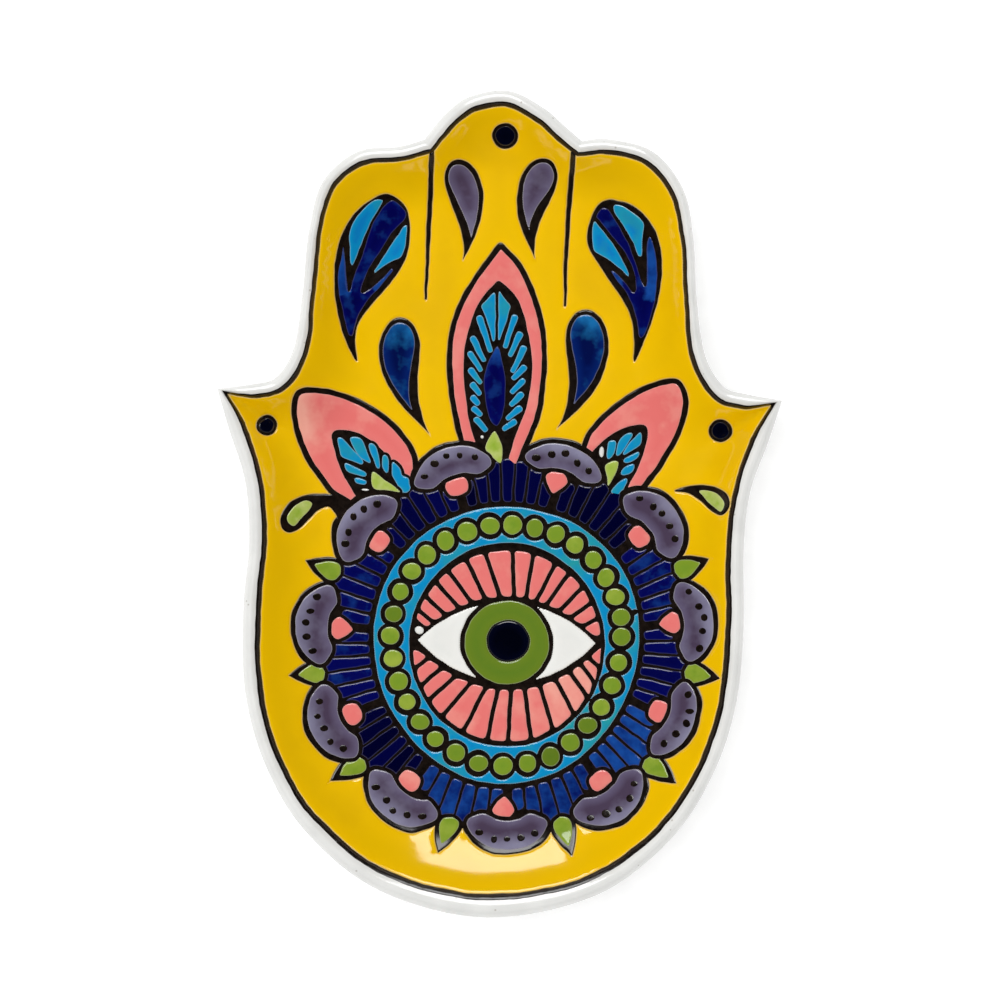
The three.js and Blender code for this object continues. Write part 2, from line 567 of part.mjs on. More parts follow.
const LOTUS = {
  centre: {
    direction: [0, 1],
    outer: [[-8.8, 0.5], [-11.4, 10.2], [-12.4, 19], [-11.7, 27.1], [-8.1, 35.3], [-3, 42.4], [1.6, 37.1],
      [5.1, 27.9], [5.9, 19.3], [5, 10.6], [2.2, 0.5]],
    root: [-2.6, -6],
    inner: [[-1, 0], [1.2, 7.2], [2.7, 12.7], [3.2, 19.2], [2.1, 26.3], [0.1, 31.6], [-3.2, 35.2], [-6.4, 31.5],
      [-8.5, 26], [-9.5, 18.9], [-8.8, 12.4], [-7.5, 5.9], [-5.2, 0]],
    leaf: [[-3.4, 6.3], [-2, 4], [-1.6, 1.6], [-2.3, 0], [-4.6, 1.8], [-4.5, 4]],
    core: [[-3.4, 22.8], [-1.7, 19], [-1.3, 14.5], [-1.9, 9.5], [-3.1, 7.6], [-4.5, 9.5], [-5.2, 14.5],
      [-4.8, 19]],
    feathers: [[-3.5, 21.5, -5.6, 30.4], [-3.3, 21.5, -1.2, 30.6], [-3.6, 20.4, -7.2, 27],
      [-3.1, 20.4, 0.4, 27.6], [-3.6, 17.8, -7.9, 23.8], [-3.1, 18, 1.4, 24.6], [-3.6, 14.8, -8.2, 20.6],
      [-3.1, 15, 1.9, 21],
      [-3.6, 12, -8.2, 17.4], [-3.1, 12, 2, 17.6], [-3.6, 9.6, -8, 14.3], [-3.1, 9.6, 1.8, 14.4]],
  },
  left: {
    direction: [-0.6, 0.8],
    outer: [[-12.8, -0.2], [-18.5, 7.9], [-21, 15.5], [-20.2, 19.8], [-15.5, 20.1], [-9.5, 18.4], [-3.4, 14.8],
      [0.5, 10.5], [2, 7.6]],
    root: [3.4, -4],
    inner: [[0.8, 4.6], [-1.6, 7.7], [-4.9, 10.1], [-9.3, 12.2], [-13.3, 12.6], [-13.1, 9.1], [-11.6, 4.8],
      [-8.9, 0.2]],
    leaf: [[-6.2, 4.8], [-5.5, 4.9], [-3.4, 3.4], [-1.2, 1.6], [-3.4, 1.3], [-5.4, 1.5]],
    feathers: [[-5.9, 4.4, -11.8, 9.8], [-5.7, 4.5, -9.4, 11], [-5.2, 4.2, -6.2, 9.8],
      [-3.6, 3, -3.6, 7.8], [-5.6, 3.9, -10.9, 5.6]],
  },
  right: {
    direction: [0.6, 0.8],
    outer: [[-7.4, 9.4], [-5.7, 13.4], [-2, 17.3], [4.5, 21.8], [10.8, 23.3], [12.1, 20.3], [11.1, 14.9],
      [7.5, 8.3], [3, 2.4]],
    root: [-6.6, -3],
    inner: [[-0.2, 1.1], [3.2, 6.5], [4.7, 11.5], [4.8, 14.8], [0.3, 14], [-3.5, 11.3], [-5.6, 8.6]],
    leaf: [[-2.7, 7], [-1.1, 7.9], [-0.3, 7.4], [-0.8, 5.2], [-2, 3.6], [-2.3, 5]],
    feathers: [[-0.9, 7.4, 3.6, 12.8], [-1.3, 7.3, 1.6, 12.9], [-1.9, 7, -1.5, 11.5], [-0.8, 7, 3.4, 9.3]],
  },
};
const FEATHER_WIDTH = 1.3; // at the tip; the foot is narrower
const FEATHER_FOOT_WIDTH = 0.7;

// A slanting cell from a narrow foot to a wide tip
function featherCell([foot, tip]) {
  const along = tip.clone().sub(foot).normalize();
  const side = vec(-along.y, along.x);
  const point = (end, across, on) => end.clone().addScaledVector(side, across).addScaledVector(along, on);
  const [narrow, wide] = [FEATHER_FOOT_WIDTH / 2, FEATHER_WIDTH / 2];
  const shoulders = [point(tip, -wide, -wide), point(tip, 0, 0), point(tip, wide, -wide)];
  return [point(foot, -narrow, 0), ...shoulders, point(foot, narrow, 0)];
}

const lotusLines = Object.entries(LOTUS).map(([name, petal]) => {
  const { direction, outer, inner, root, leaf, core, feathers } = petal;
  const set = (points) => fromEdge(points, direction);
  const [outerRun, innerRun, leafOutline] = [outer, inner, leaf].map(set);
  const featherEnds = feathers.map(([footX, footY, tipX, tipY]) => set([[footX, footY], [tipX, tipY]]));
  const innerRoom = prism(grow(innerRun, -LINE_WIDTH * 0.4)).subtract(frontClear);
  const band = prism(grow(outerRun, -LINE_WIDTH / 2)).subtract(prism(grow(innerRun, LINE_WIDTH * 0.4)));
  const bandFeet = prism([...outerRun, ...innerRun]);
  const bandShape = band.intersect(bandFeet).subtract(frontClear);
  addPiece(`lotus_band_${name}`, mainBody(poolSkin.intersect(bandShape)), PINK);
  const leafShape = prism(leafOutline).subtract(frontClear);
  addPiece(`lotus_leaf_${name}`, mainBody(poolSkin.intersect(leafShape)), PALE_GREEN);
  if (core) addPiece('lotus_core', poolSkin.intersect(prism(set(core))), NAVY);

  // Feathers spring from a narrow run of glaze round the core, or round the leaf where there is no core
  const stem = core ? set(core) : leafOutline;
  const spine = prism(grow(stem, LINE_WIDTH * 0.6 + NECK_WIDTH));
  const taken = around([leafOutline, stem], LINE_WIDTH * 0.6);
  const cells = prisms(featherEnds.map(featherCell)).add(spine).subtract(taken).intersect(innerRoom);
  addPiece(`lotus_feathers_${name}`, mainBody(poolSkin.intersect(cells)), CYAN);
  return grow([...outerRun, ...set([root])], LINE_WIDTH / 2);
});

// Curled leaves beside the medallion: the left one grows out of its black ground, the right one lies free

const CURL_LEFT = [[-18.7, -1], [-17.5, -1.5], [-17.8, -2.5], [-19.2, -4.2], [-20.8, -5.9], [-22, -5.3],
  [-22.3, -4.1], [-21.3, -2.4], [-20, -1.4]];
const CURL_LEFT_LINE = [[-21.7, -1.3], [-19.1, -0.1], [-16.3, 0.3], [-13.7, 0.4], [-11.9, -0.9], [-12.9, -2.4],
  [-14.4, -1.9], [-16.3, -2.8], [-18.1, -4.7], [-19.9, -6.4], [-21.7, -7.2], [-23.2, -6.3], [-23.5, -4.5],
  [-22.8, -2.6]];
const CURL_RIGHT = [[8.5, 9.5], [10.2, 9.7], [12, 9], [13.1, 7.3], [12.6, 5.7], [11.5, 6.3], [9.9, 7.8]];
const CURL_RIGHT_LINE = [[3.7, 9.3], [7.1, 10.4], [10.6, 10.5], [13.1, 9.3], [13.8, 6.9], [12.8, 5],
  [11.1, 5.6], [9.1, 7.4], [6.7, 8.7]];
const setLeft = (points) => fromEdge(points, LOTUS.left.direction);
const setRight = (points) => fromEdge(points, [0.8, 0.6]);
const [curlLeft, curlLeftLine] = [CURL_LEFT, CURL_LEFT_LINE].map(setLeft);
const [curlRight, curlRightLine] = [CURL_RIGHT, CURL_RIGHT_LINE].map(setRight);
addPiece('curled_leaf_left', poolSkin.intersect(prism(curlLeft)), PALE_GREEN);
poolOnGround('curled_leaf_right', curlRight, curlRightLine, PALE_GREEN);

// Black ground of the medallion, the lotus petals and the left curled leaf, one connected sheet

const medallionLines = [ground, ...scallopLines, ...leafLines, ...lotusLines, curlLeftLine];
addPiece('medallion_lines', mainBody(blackSkin.intersect(prisms(medallionLines))), BLACK);
fieldStops.push(...medallionLines);

// Border line with the two finger lines that hang from its notches

const FINGER_LINES = [
  [[-14.2, 68.4], [-14.4, 53], [-14.9, 39.5]],
  [[14.2, 68.4], [12.8, 53.5], [12.1, 38.7]],
];
const FINGER_LINE_END = 0.5; // share of the line's width at its lower end
function taperedStroke(points) {
  const middle = run(points, 2);
  const half = (k) => (LINE_WIDTH / 2) * (1 - ((1 - FINGER_LINE_END) * k) / (middle.length - 1));
  const left = middle.map((p, k) => vec(p.x - half(k), p.y));
  const right = middle.map((p, k) => vec(p.x + half(k), p.y));
  return [...left, ...right.reverse()];
}
const strokes = FINGER_LINES.map(taperedStroke);

const borderSkin = skin(SEAT_GAP, LINE_THICKNESS, lineOuter);
const borderBand = borderSkin.subtract(prism(handRing(lineInner)));
addPiece('border_line', mainBody(borderBand.add(borderSkin.intersect(prisms(strokes)))), BLACK);

// Yellow field between the border line and all other lines

const drawnClear = prism(handRing(fieldEdge + (FIELD_RUN - SIDE_GAP) / WALL_RUN));
const stops = around(fieldStops, SIDE_GAP).intersect(drawnClear);
const field = fieldSkin.subtract(stops).subtract(around(strokes, SIDE_GAP));
addPiece('yellow_field', mainBody(field), YELLOW);

// The origin lies under the middle of the hand's length
const lengthEnds = rimOutline.map((point) => point.y);
dish.position.y = -(Math.max(...lengthEnds) + Math.min(...lengthEnds)) / 2;

export default dish;
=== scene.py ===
"""Hamsa trinket dish: a pressed earthenware hand, black resist lines and a pool of glaze in each cell."""
import cmath
import math
import random

import bpy
from bpy.props import FloatProperty, FloatVectorProperty, PointerProperty
from mathutils import Matrix, Vector, noise
from mathutils.bvhtree import BVHTree
from mathutils.geometry import delaunay_2d_cdt


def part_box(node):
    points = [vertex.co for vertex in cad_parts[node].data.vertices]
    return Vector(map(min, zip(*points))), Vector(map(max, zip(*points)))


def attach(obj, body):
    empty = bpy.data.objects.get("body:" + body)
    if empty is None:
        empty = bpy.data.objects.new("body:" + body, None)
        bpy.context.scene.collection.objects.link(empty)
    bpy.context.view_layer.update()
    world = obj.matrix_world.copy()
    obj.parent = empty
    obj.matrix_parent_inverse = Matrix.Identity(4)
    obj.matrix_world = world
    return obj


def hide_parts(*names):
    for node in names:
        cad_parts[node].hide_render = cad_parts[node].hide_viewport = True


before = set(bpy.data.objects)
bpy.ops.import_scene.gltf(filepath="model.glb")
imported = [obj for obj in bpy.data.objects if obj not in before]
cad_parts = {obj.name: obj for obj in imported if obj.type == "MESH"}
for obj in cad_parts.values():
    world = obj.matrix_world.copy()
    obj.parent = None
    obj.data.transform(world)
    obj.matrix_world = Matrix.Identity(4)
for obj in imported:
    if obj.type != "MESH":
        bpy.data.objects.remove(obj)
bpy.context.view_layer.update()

bl_info = {
    "name": "Hamsa Trinket Dish",
    "version": (1, 0, 0),
    "blender": (4, 5, 0),
    "location": "View3D > Sidebar > Dish",
    "description": "Builds a glazed hand-shaped dish, its drawn lines and its pools of glaze",
    "category": "Add Mesh",
}

BODY_LOW, BODY_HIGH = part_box("dish_body")
MM = 0.001
DRAWING_MIDDLE = 0.089  # the frame's origin lies this far up the drawing, in mm


def linear(code):
    """The linear colour of an sRGB hex value."""
    parts = [int(code[i:i + 2], 16) / 255 for i in (0, 2, 4)]
    return tuple(c / 12.92 if c <= 0.04045 else ((c + 0.055) / 1.055) ** 2.4 for c in parts)


def colour(name, description, code):
    """A colour property with its default written as an sRGB hex value."""
    return FloatVectorProperty(name=name, description=description, default=linear(code), size=3, min=0, max=1,
                               subtype="COLOR")


def length(name, description, millimetres):
    """A length property with its default in millimetres."""
    return FloatProperty(name=name, description=description, default=millimetres * MM, min=0, unit="LENGTH",
                         subtype="DISTANCE", precision=5)


class DishSizes(bpy.types.PropertyGroup):
    """Sizes of the dish, its lines and its glaze."""
    height: length("Height", "Foot to the crest of the rim", (BODY_HIGH.z - BODY_LOW.z) / MM)
    floor: length("Floor", "Foot to the inside of the floor", 5.5)
    rim: length("Rim", "Outer edge of the rim to the border line", 2.9)
    border_fall: length("Border fall", "Crest of the rim down to the border line", 1.1)
    wall_run: length("Wall run", "Border line to the flat floor, from above", 12)
    foot_inset: length("Foot inset", "Border line to the edge of the foot, from above", 3.6)
    line: length("Line", "Width of a drawn black line", 1.0)
    line_rise: length("Line rise", "Top of the black line above the body", 0.16)
    pool_rise: length("Pool rise", "Top of a glaze pool above the black line", 0.24)
    field_rise: length("Field rise", "Top of the yellow field above the body", 0.4)
    drift: length("Drift", "How far a drawn outline strays from its true place", 0.2)


class GlazeColours(bpy.types.PropertyGroup):
    """Colours of the body, the line and the glazes."""
    white: colour("White", "Clear glaze on the pale body", "E9E9E6")
    biscuit: colour("Biscuit", "Bare fired clay of the foot", "D9CBB2")
    black: colour("Black", "Resist line", "0E0907")
    yellow: colour("Yellow", "Field glaze", "F2C000")
    lilac: colour("Lilac", "Scallop and drop glaze", "665E7A")
    pink: colour("Pink", "Lotus and ray glaze", "EA7C78")
    navy: colour("Navy", "Fan and plume glaze", "04085A")
    blue: colour("Blue", "Small drop glaze", "04226A")
    cyan: colour("Cyan", "Ring and feather glaze", "0696C6")
    green: colour("Green", "Bead, iris and leaf glaze", "80992A")
    pale_green: colour("Pale green", "Bud and curled leaf glaze", "AEBF58")
    eye_white: colour("Eye white", "Glaze of the eye", "F0F0EC")
    pupil: colour("Pupil", "Thick navy glaze of the pupil", "03051A")
    floor: colour("Studio floor", "Paper that the dish lies on", "FDFDFD")


def sizes(name):
    """A size of the dish in millimetres."""
    return getattr(bpy.context.scene.hamsa_sizes, name) / MM


def shade(name):
    """A colour of the dish with alpha."""
    return (*getattr(bpy.context.scene.hamsa_colours, name), 1)


# Drawing in the plane: points are complex numbers in millimetres, with the fingers towards +y

def at(points):
    return [complex(x, y) for x, y in points]


def smooth(points, closed=True, step=0.35, parts=None, limit=1.0):
    """Points about a step apart on a smooth run through a few set points."""
    count = len(points)
    out = []
    for i in range(count if closed else count - 1):
        p1, p2 = points[i], points[(i + 1) % count]
        p0 = points[i - 1] if closed or i else p1
        p3 = points[(i + 2) % count] if closed or i + 2 < count else p2
        reach = abs(p2 - p1)
        a, b = (p2 - p0) / 2, (p3 - p1) / 2
        if limit:
            a *= min(1, limit * reach / max(abs(a), 1e-6))
            b *= min(1, limit * reach / max(abs(b), 1e-6))
        pieces = parts or max(1, round(reach / step))
        for k in range(pieces):
            t = k / pieces
            bend = (2 * p1 - 2 * p2 + a + b) * t ** 3 + (3 * p2 - 3 * p1 - 2 * a - b) * t ** 2
            out.append(bend + a * t + p1)
    return out if closed else [*out, points[-1]]


def straight(corners, step=0.35):
    """The edges of a closed outline cut into short steps."""
    out = []
    for i, p in enumerate(corners):
        q = corners[(i + 1) % len(corners)]
        pieces = max(1, round(abs(q - p) / step))
        out.extend(p + (q - p) * k / pieces for k in range(pieces))
    return out


def rounded(corners, radius):
    """A closed outline with its corners rounded."""
    out = []
    for i, p in enumerate(corners):
        before, after = corners[i - 1] - p, corners[(i + 1) % len(corners)] - p
        start = p + before / abs(before) * min(radius, abs(before) * 0.45)
        end = p + after / abs(after) * min(radius, abs(after) * 0.45)
        out.extend(start * (1 - t) ** 2 + 2 * p * t * (1 - t) + end * t ** 2 for t in (0, 0.25, 0.5, 0.75, 1))
    return straight(out)


def ellipse(middle, rx, ry, step=0.4):
    count = max(16, round(math.pi * (rx + ry) / step))
    turns = [2 * math.pi * k / count for k in range(count)]
    return [middle + complex(rx * math.cos(t), ry * math.sin(t)) for t in turns]


def signed_area(outline):
    return sum((outline[i - 1].conjugate() * p).imag for i, p in enumerate(outline)) / 2


def grow(outline, distance, uneven=0.0):
    """A closed outline moved outwards, with the loops that this makes in hollows left out."""
    turn = 1 if signed_area(outline) > 0 else -1
    count = len(outline)
    grown = []
    for i, p in enumerate(outline):
        along = outline[(i + 1) % count] - outline[i - 1]
        way = distance * (1 + uneven * noise.noise(Vector((p.real, p.imag, 7)) / 3.1))
        grown.append(p - 1j * turn * along / max(abs(along), 1e-9) * way)
    tree = wall_tree([(p, outline[i - 1]) for i, p in enumerate(outline)])
    clear = 0.97 * abs(distance) * (1 - uneven)
    grown = straight([p for p in grown if tree.find_nearest((p.real, p.imag, 0))[3] >= clear], 0.3)
    for _ in range(2):
        grown = [(grown[i - 1] + 2 * p + grown[(i + 1) % len(grown)]) / 4 for i, p in enumerate(grown)]
    return grown


def mirrored(points):
    return [complex(-p.real, p.imag) for p in points]


def both_sides(half):
    """A closed run from its right half, given from top to bottom."""
    return [*half, *mirrored(half[1:-1])[::-1]]


DRIFT_SEED = 7  # without a seed, noise_vector starts from the clock and differs from run to run


def drift(outline):
    """An outline as a steady hand draws it: near its true place, and never quite on it."""
    noise.seed_set(DRIFT_SEED)
    stray = sizes("drift")
    out = []
    for p in outline:
        slow = noise.noise_vector(Vector((p.real, p.imag, 0)) / 6.5)
        quick = noise.noise_vector(Vector((p.real, p.imag, 40)) / 1.7)
        out.append(p + stray * complex(slow.x + 0.5 * quick.x, slow.y + 0.5 * quick.y))
    return out


def wall_tree(edges):
    """Upright walls on flat edges, to measure how far a point lies from them."""
    corners, walls = [], []
    for p, q in edges:
        first = len(corners)
        corners.extend((end.real, end.imag, z) for end, z in ((p, -9), (p, 9), (q, 9), (q, -9)))
        walls.append(tuple(range(first, first + 4)))
    return BVHTree.FromPolygons(corners, walls)


def ring_faces(rows, count):
    """Four-sided faces between rings of points that follow each other."""
    faces = []
    for r in range(rows - 1):
        for i in range(count):
            j = (i + 1) % count
            faces.append((r * count + i, r * count + j, (r + 1) * count + j, (r + 1) * count + i))
    return faces


# The hand: middle of the border line from the middle finger's top to the wrist, on the right half. Each row
# has the line's place, the lean of the wall below it in wall runs, the rim's share of its width, and the lift
# of the finger

HAND_ROWS = (
    (0, 77.6, 0, -1, 0.9, 0), (6, 75.6, -0.15, -0.97, 0.9, -0.88), (10, 72.4, -0.3, -0.9, 0.9, -0.99),
    (14.2, 68.2, -0.33, -0.74, 0.9, 0), (20, 67.6, -0.2, -0.85, 0.85, 1.1),
    (27.5, 66.2, -0.45, -0.9, 0.85, 0.66),
    (33, 60.8, -0.7, -0.75, 0.75, 0), (35.3, 52, -0.85, -0.5, 0.68, 0), (36.2, 40, -0.9, -0.25, 0.7, 0),
    (37.6, 29, -0.95, -0.3, 0.8, 0), (41.6, 22, -1, -0.5, 0.85, 0), (47.5, 19.9, -1.19, -0.64, 0.85, 0),
    (53.4, 20.8, -1.5, -0.95, 0.5, 0), (49.6, 14.5, -1.18, -0.79, 1, 0), (46.1, 4, -0.99, -0.5, 1, 0),
    (45, -8, -0.98, -0.17, 1, 0), (45.6, -22, -1.02, 0, 1, 0), (44.7, -37, -1.01, 0.25, 1, 0),
    (40.8, -50, -0.91, 0.5, 1, 0), (33, -62, -0.73, 0.75, 1.1, 0), (19.4, -72, -0.45, 0.92, 1.25, 0),
    (0, -76, 0, 1, 1.38, 0),
)
SHARP_ROWS = (3, 12)  # the notches beside the middle finger and the tips of the thumbs
PALM_SHIFT, FINGER_SHIFT = 0.5, 0.4  # the lower palm and the sides of the fingers lie this much to the left
WALL_HOLLOW = 1.6  # power of the inner wall's curve, where 1 would be straight
RIM_CREST = -0.5  # station of the crest: the rim's outer edge is -1, the border line 0 and the flat floor 1


def left_shift(y):
    """How far the outline lies to the left at a height of the drawing."""
    return PALM_SHIFT * max(0, 1 - ((y + 47) / 40) ** 2) + FINGER_SHIFT * max(0, 1 - ((y - 45) / 22) ** 2)


def hand_rings(parts=8):
    """Outlines of the rim's edge, the border line and the floor, point for point, counter-clockwise."""
    rows = [(row, 1) for row in HAND_ROWS] + [(row, -1) for row in HAND_ROWS[-2:0:-1]]
    border = [complex(side * x - left_shift(y), y + side * lift) for (x, y, _, _, _, lift), side in rows]
    count = len(border)
    floor, rim = [], []
    for i, ((_, _, lean_x, lean_y, share, _), side) in enumerate(rows):
        along = border[(i + 1) % count] - border[i - 1]
        floor.append(border[i] + complex(side * lean_x, lean_y) * sizes("wall_run"))
        rim.append(border[i] + 1j * along / abs(along) * share * sizes("rim"))
    sharp = [*SHARP_ROWS, *(count - k for k in SHARP_ROWS[::-1])]
    rings = []
    for ring in (rim, border, floor):
        outline = []
        for k, start in enumerate(sharp):
            end = sharp[k + 1] if k + 1 < len(sharp) else sharp[0] + count
            stretch = [ring[i % count] for i in range(start, end + 1)]
            outline.extend(smooth(stretch, closed=False, parts=parts, limit=None)[:-1])
        rings.append(outline[::-1])
    return rings


def hand_ring(station, rings):
    """Outline of the dish at a station between the rim's edge, the border line and the floor."""
    rim, border, floor = rings
    far = rim if station < 0 else floor
    return [p + (q - p) * abs(station) for p, q in zip(border, far)]


def inside_height(station):
    """Height of the inside at a station: the rim falls to the border line, and the wall is hollow."""
    fall = sizes("border_fall")
    if station < 0:
        return sizes("height") - fall * (1 - station / RIM_CREST) ** 1.6
    return sizes("floor") + (sizes("height") - fall - sizes("floor")) * (1 - station) ** WALL_HOLLOW


def inside_tree():
    """The inside of the dish, to find its height below any point."""
    rings = hand_rings()
    stations = [RIM_CREST + k / 20 for k in range(10)] + [k / 60 for k in range(61)]
    corners = []
    for station in stations:
        height = inside_height(station)
        corners.extend((p.real, p.imag, height) for p in hand_ring(station, rings))
    faces = ring_faces(len(stations), len(rings[0]))
    points, triangles = fill([hand_ring(1, rings)])
    first = len(corners)
    corners.extend((p.real, p.imag, sizes("floor")) for p in points)
    faces.extend(tuple(first + v for v in triangle) for triangle in triangles)
    return BVHTree.FromPolygons(corners, faces)


# Flat areas and the layers of line and glaze that are laid on them

EDGE_ROWS = (0.13, 0.32, 0.62)  # mm inside an area's edge, for the rows of points that follow it
ROW_HEIGHT = 0.87  # of a grid of even triangles, in its steps
SINK = 0.06  # mm that a layer reaches into what lies below it
LIFT = 0.02  # mm from the body to the thin edge of a line or of the field


def fill(outlines, holes=(), inner=(), within=None):
    """Triangles of the area inside any of the outlines, outside all the holes and within a last outline."""
    places, loops = [], []
    drawn = [*outlines, *holes, *([within] if within else [])]
    for outline in drawn:
        loops.append(list(range(len(places), len(places) + len(outline))))
        places.extend(outline if signed_area(outline) > 0 else outline[::-1])
    places.extend(inner)
    flat = [Vector((p.real, p.imag)) for p in places]
    points, _, triangles, _, _, owners = delaunay_2d_cdt(flat, [], loops, 0, 1e-5)
    first_hole, last_hole = len(outlines), len(outlines) + len(holes)
    kept = []
    for triangle, own in zip(triangles, owners):
        inside = any(k < first_hole for k in own) and not any(first_hole <= k < last_hole for k in own)
        if inside and (within is None or last_hole in own):
            kept.append(triangle)
    return [complex(*p) for p in points], kept


def open_edges(triangles):
    """Edges of an area's outline, each with the area on its left."""
    sides = {(t[i - 1], t[i]): None for t in triangles for i in range(3)}
    return [(a, b) for a, b in sides if (b, a) not in sides]


def meshed(outlines, holes, grid, within=None):
    """An area with points in rows along its edge and an even grid, and each point's way to the edge."""
    points, triangles = fill(outlines, holes, (), within)
    if not triangles:
        return None
    edges = open_edges(triangles)
    shore = wall_tree([(points[a], points[b]) for a, b in edges])
    land = BVHTree.FromPolygons([(p.real, p.imag, 0) for p in points], triangles)
    inner, taken = [], set()

    def offer(p, least, room):
        if land.ray_cast((p.real, p.imag, 5), (0, 0, -1))[0] is None:
            return
        if shore.find_nearest((p.real, p.imag, 0))[3] < least:
            return
        spot = (round(p.real / room), round(p.imag / room))
        if spot not in taken:
            taken.add(spot)
            inner.append(p)

    for row in EDGE_ROWS:
        for a, b in edges:
            way = points[b] - points[a]
            if abs(way) > 1e-4:
                middle = (points[a] + points[b]) / 2
                offer(middle + 1j * way / abs(way) * row, 0.94 * row, 0.12 + row / 4)
    xs, ys = [p.real for p in points], [p.imag for p in points]
    for j in range(int((max(ys) - min(ys)) / (grid * ROW_HEIGHT)) + 1):
        for i in range(int((max(xs) - min(xs)) / grid) + 2):
            p = complex(min(xs) + (i - 0.5 * (j % 2)) * grid, min(ys) + j * grid * ROW_HEIGHT)
            offer(p, EDGE_ROWS[-1] + grid * 0.4, grid / 4)
    points, triangles = fill(outlines, holes, inner, within)
    ways = [shore.find_nearest((p.real, p.imag, 0))[3] for p in points]
    return points, triangles, ways


def crown(way, run):
    """Rise of a pool at a way from its edge, from 0 to 1: round at the edge and level in the middle."""
    return math.sqrt(1 - (1 - min(way / run, 1)) ** 2)


INSIDE = []


def lay(name, cells, base, rise, run, material, nodes=(), grid=1.0, ripple=0.0, within=None):
    """One piece made of a layer for each cell, given as its outlines, holes and tone."""
    if not INSIDE:
        INSIDE.append(inside_tree())
    corners, faces, edge, tone = [], [], [], []
    for outlines, holes, shift in cells:
        made = meshed([drift(o) for o in outlines], [drift(o) for o in holes], grid,
                      drift(within) if within else None)
        if made is None:
            raise RuntimeError(name + " has an empty cell")
        points, triangles, ways = made
        used = sorted({v for t in triangles for v in t})
        top = {v: len(corners) + k for k, v in enumerate(used)}
        under = {v: len(corners) + len(used) + k for k, v in enumerate(used)}
        grounds = []
        for v in used:
            hit = INSIDE[0].ray_cast((points[v].real, points[v].imag, 50), (0, 0, -1))[0]
            if hit is None:
                raise RuntimeError(name + " reaches past the rim")
            grounds.append(hit.z)
        for v, ground in zip(used, grounds):
            p = points[v]
            wave = ripple * noise.noise(Vector((p.real, p.imag, 3)) / 5.0)
            corners.append((p.real, p.imag, ground + base + (rise + wave) * crown(ways[v], run)))
        for v, ground in zip(used, grounds):
            corners.append((points[v].real, points[v].imag, ground + base - SINK))
        for a, b, c in triangles:
            faces.append((top[a], top[b], top[c]))
            faces.append((under[c], under[b], under[a]))
        for a, b in open_edges(triangles):
            faces.append((top[b], top[a], under[a], under[b]))
        edge.extend(ways[v] for v in used)
        edge.extend(0 for v in used)
        shifts = [shift(points[v]) if callable(shift) else shift for v in used]
        tone.extend(shifts * 2)
    piece = as_piece(name, corners, faces, material, nodes, 62)
    for title, values in (("edge", edge), ("tone", tone)):
        piece.data.attributes.new(title, "FLOAT", "POINT").data.foreach_set("value", values)
    return piece


def as_piece(name, corners, faces, material, nodes, sharp):
    """A mesh piece from corners in millimetres of the drawing, in the dish's frame."""
    mesh = bpy.data.meshes.new(name)
    mesh.from_pydata([(x * MM, (y - DRAWING_MIDDLE) * MM, z * MM) for x, y, z in corners], [], faces)
    mesh.validate()
    mesh.shade_smooth()
    mesh.set_sharp_from_angle(angle=math.radians(sharp))
    mesh.materials.append(material)
    piece = bpy.data.objects.new(name, mesh)
    bpy.context.scene.collection.objects.link(piece)
    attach(piece, "root")
    if nodes:
        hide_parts(*nodes)
    return piece


# Materials

GLAZE_IOR = 1.5  # of fired glaze and clay


def add(tree, kind, settings=None, stops=None, **links):
    """Adds a node with its settings, by socket or property name, its colour stops and its links."""
    node = tree.nodes.new(kind)
    for key, value in (settings or {}).items():
        if key in node.inputs:
            node.inputs[key].default_value = value
        else:
            setattr(node, key, value)
    if stops:
        ramp = node.color_ramp.elements
        while len(ramp) < len(stops):
            ramp.new(0.5)
        for element, (place, tint) in zip(ramp, stops):
            element.position = place
            element.color = tint
    for key, source in links.items():
        tree.links.new(source, node.inputs[key.replace("_", " ")])
    return node


def empty_material(title):
    """A new material and its tree, with no nodes yet."""
    material = bpy.data.materials.new(title)
    material.use_nodes = True
    material.node_tree.nodes.clear()
    return material, material.node_tree


def solid(code):
    """A colour with alpha from an sRGB hex value."""
    return (*linear(code), 1)


def blended(a, b, share):
    return tuple(p + (q - p) * share for p, q in zip(a, b))


def mottled(tree, place, size, detail, roughness=0.5):
    """Soft noise with patches of a size in mm."""
    settings = {"Scale": 1 / (size * MM), "Detail": detail, "Roughness": roughness}
    return add(tree, "ShaderNodeTexNoise", settings, Vector=place).outputs["Fac"]


def ranged(tree, value, limits):
    """A value moved from one range to another, each 0 to 1 where no limit is given."""
    return add(tree, "ShaderNodeMapRange", limits, Value=value).outputs["Result"]


def relief(tree, height, strength, depth):
    """Fine bumps of a depth in mm."""
    settings = {"Strength": strength, "Distance": depth * MM}
    return add(tree, "ShaderNodeBump", settings, Height=height).outputs["Normal"]


def glossy_coat(tree, tint, gloss, bump):
    """Ends a tree with a fired coat of a colour, a roughness and bumps."""
    surface = add(tree, "ShaderNodeBsdfPrincipled", {"IOR": GLAZE_IOR}, Base_Color=tint.outputs["Color"],
                  Roughness=gloss, Normal=bump)
    add(tree, "ShaderNodeOutputMaterial", Surface=surface.outputs["BSDF"])


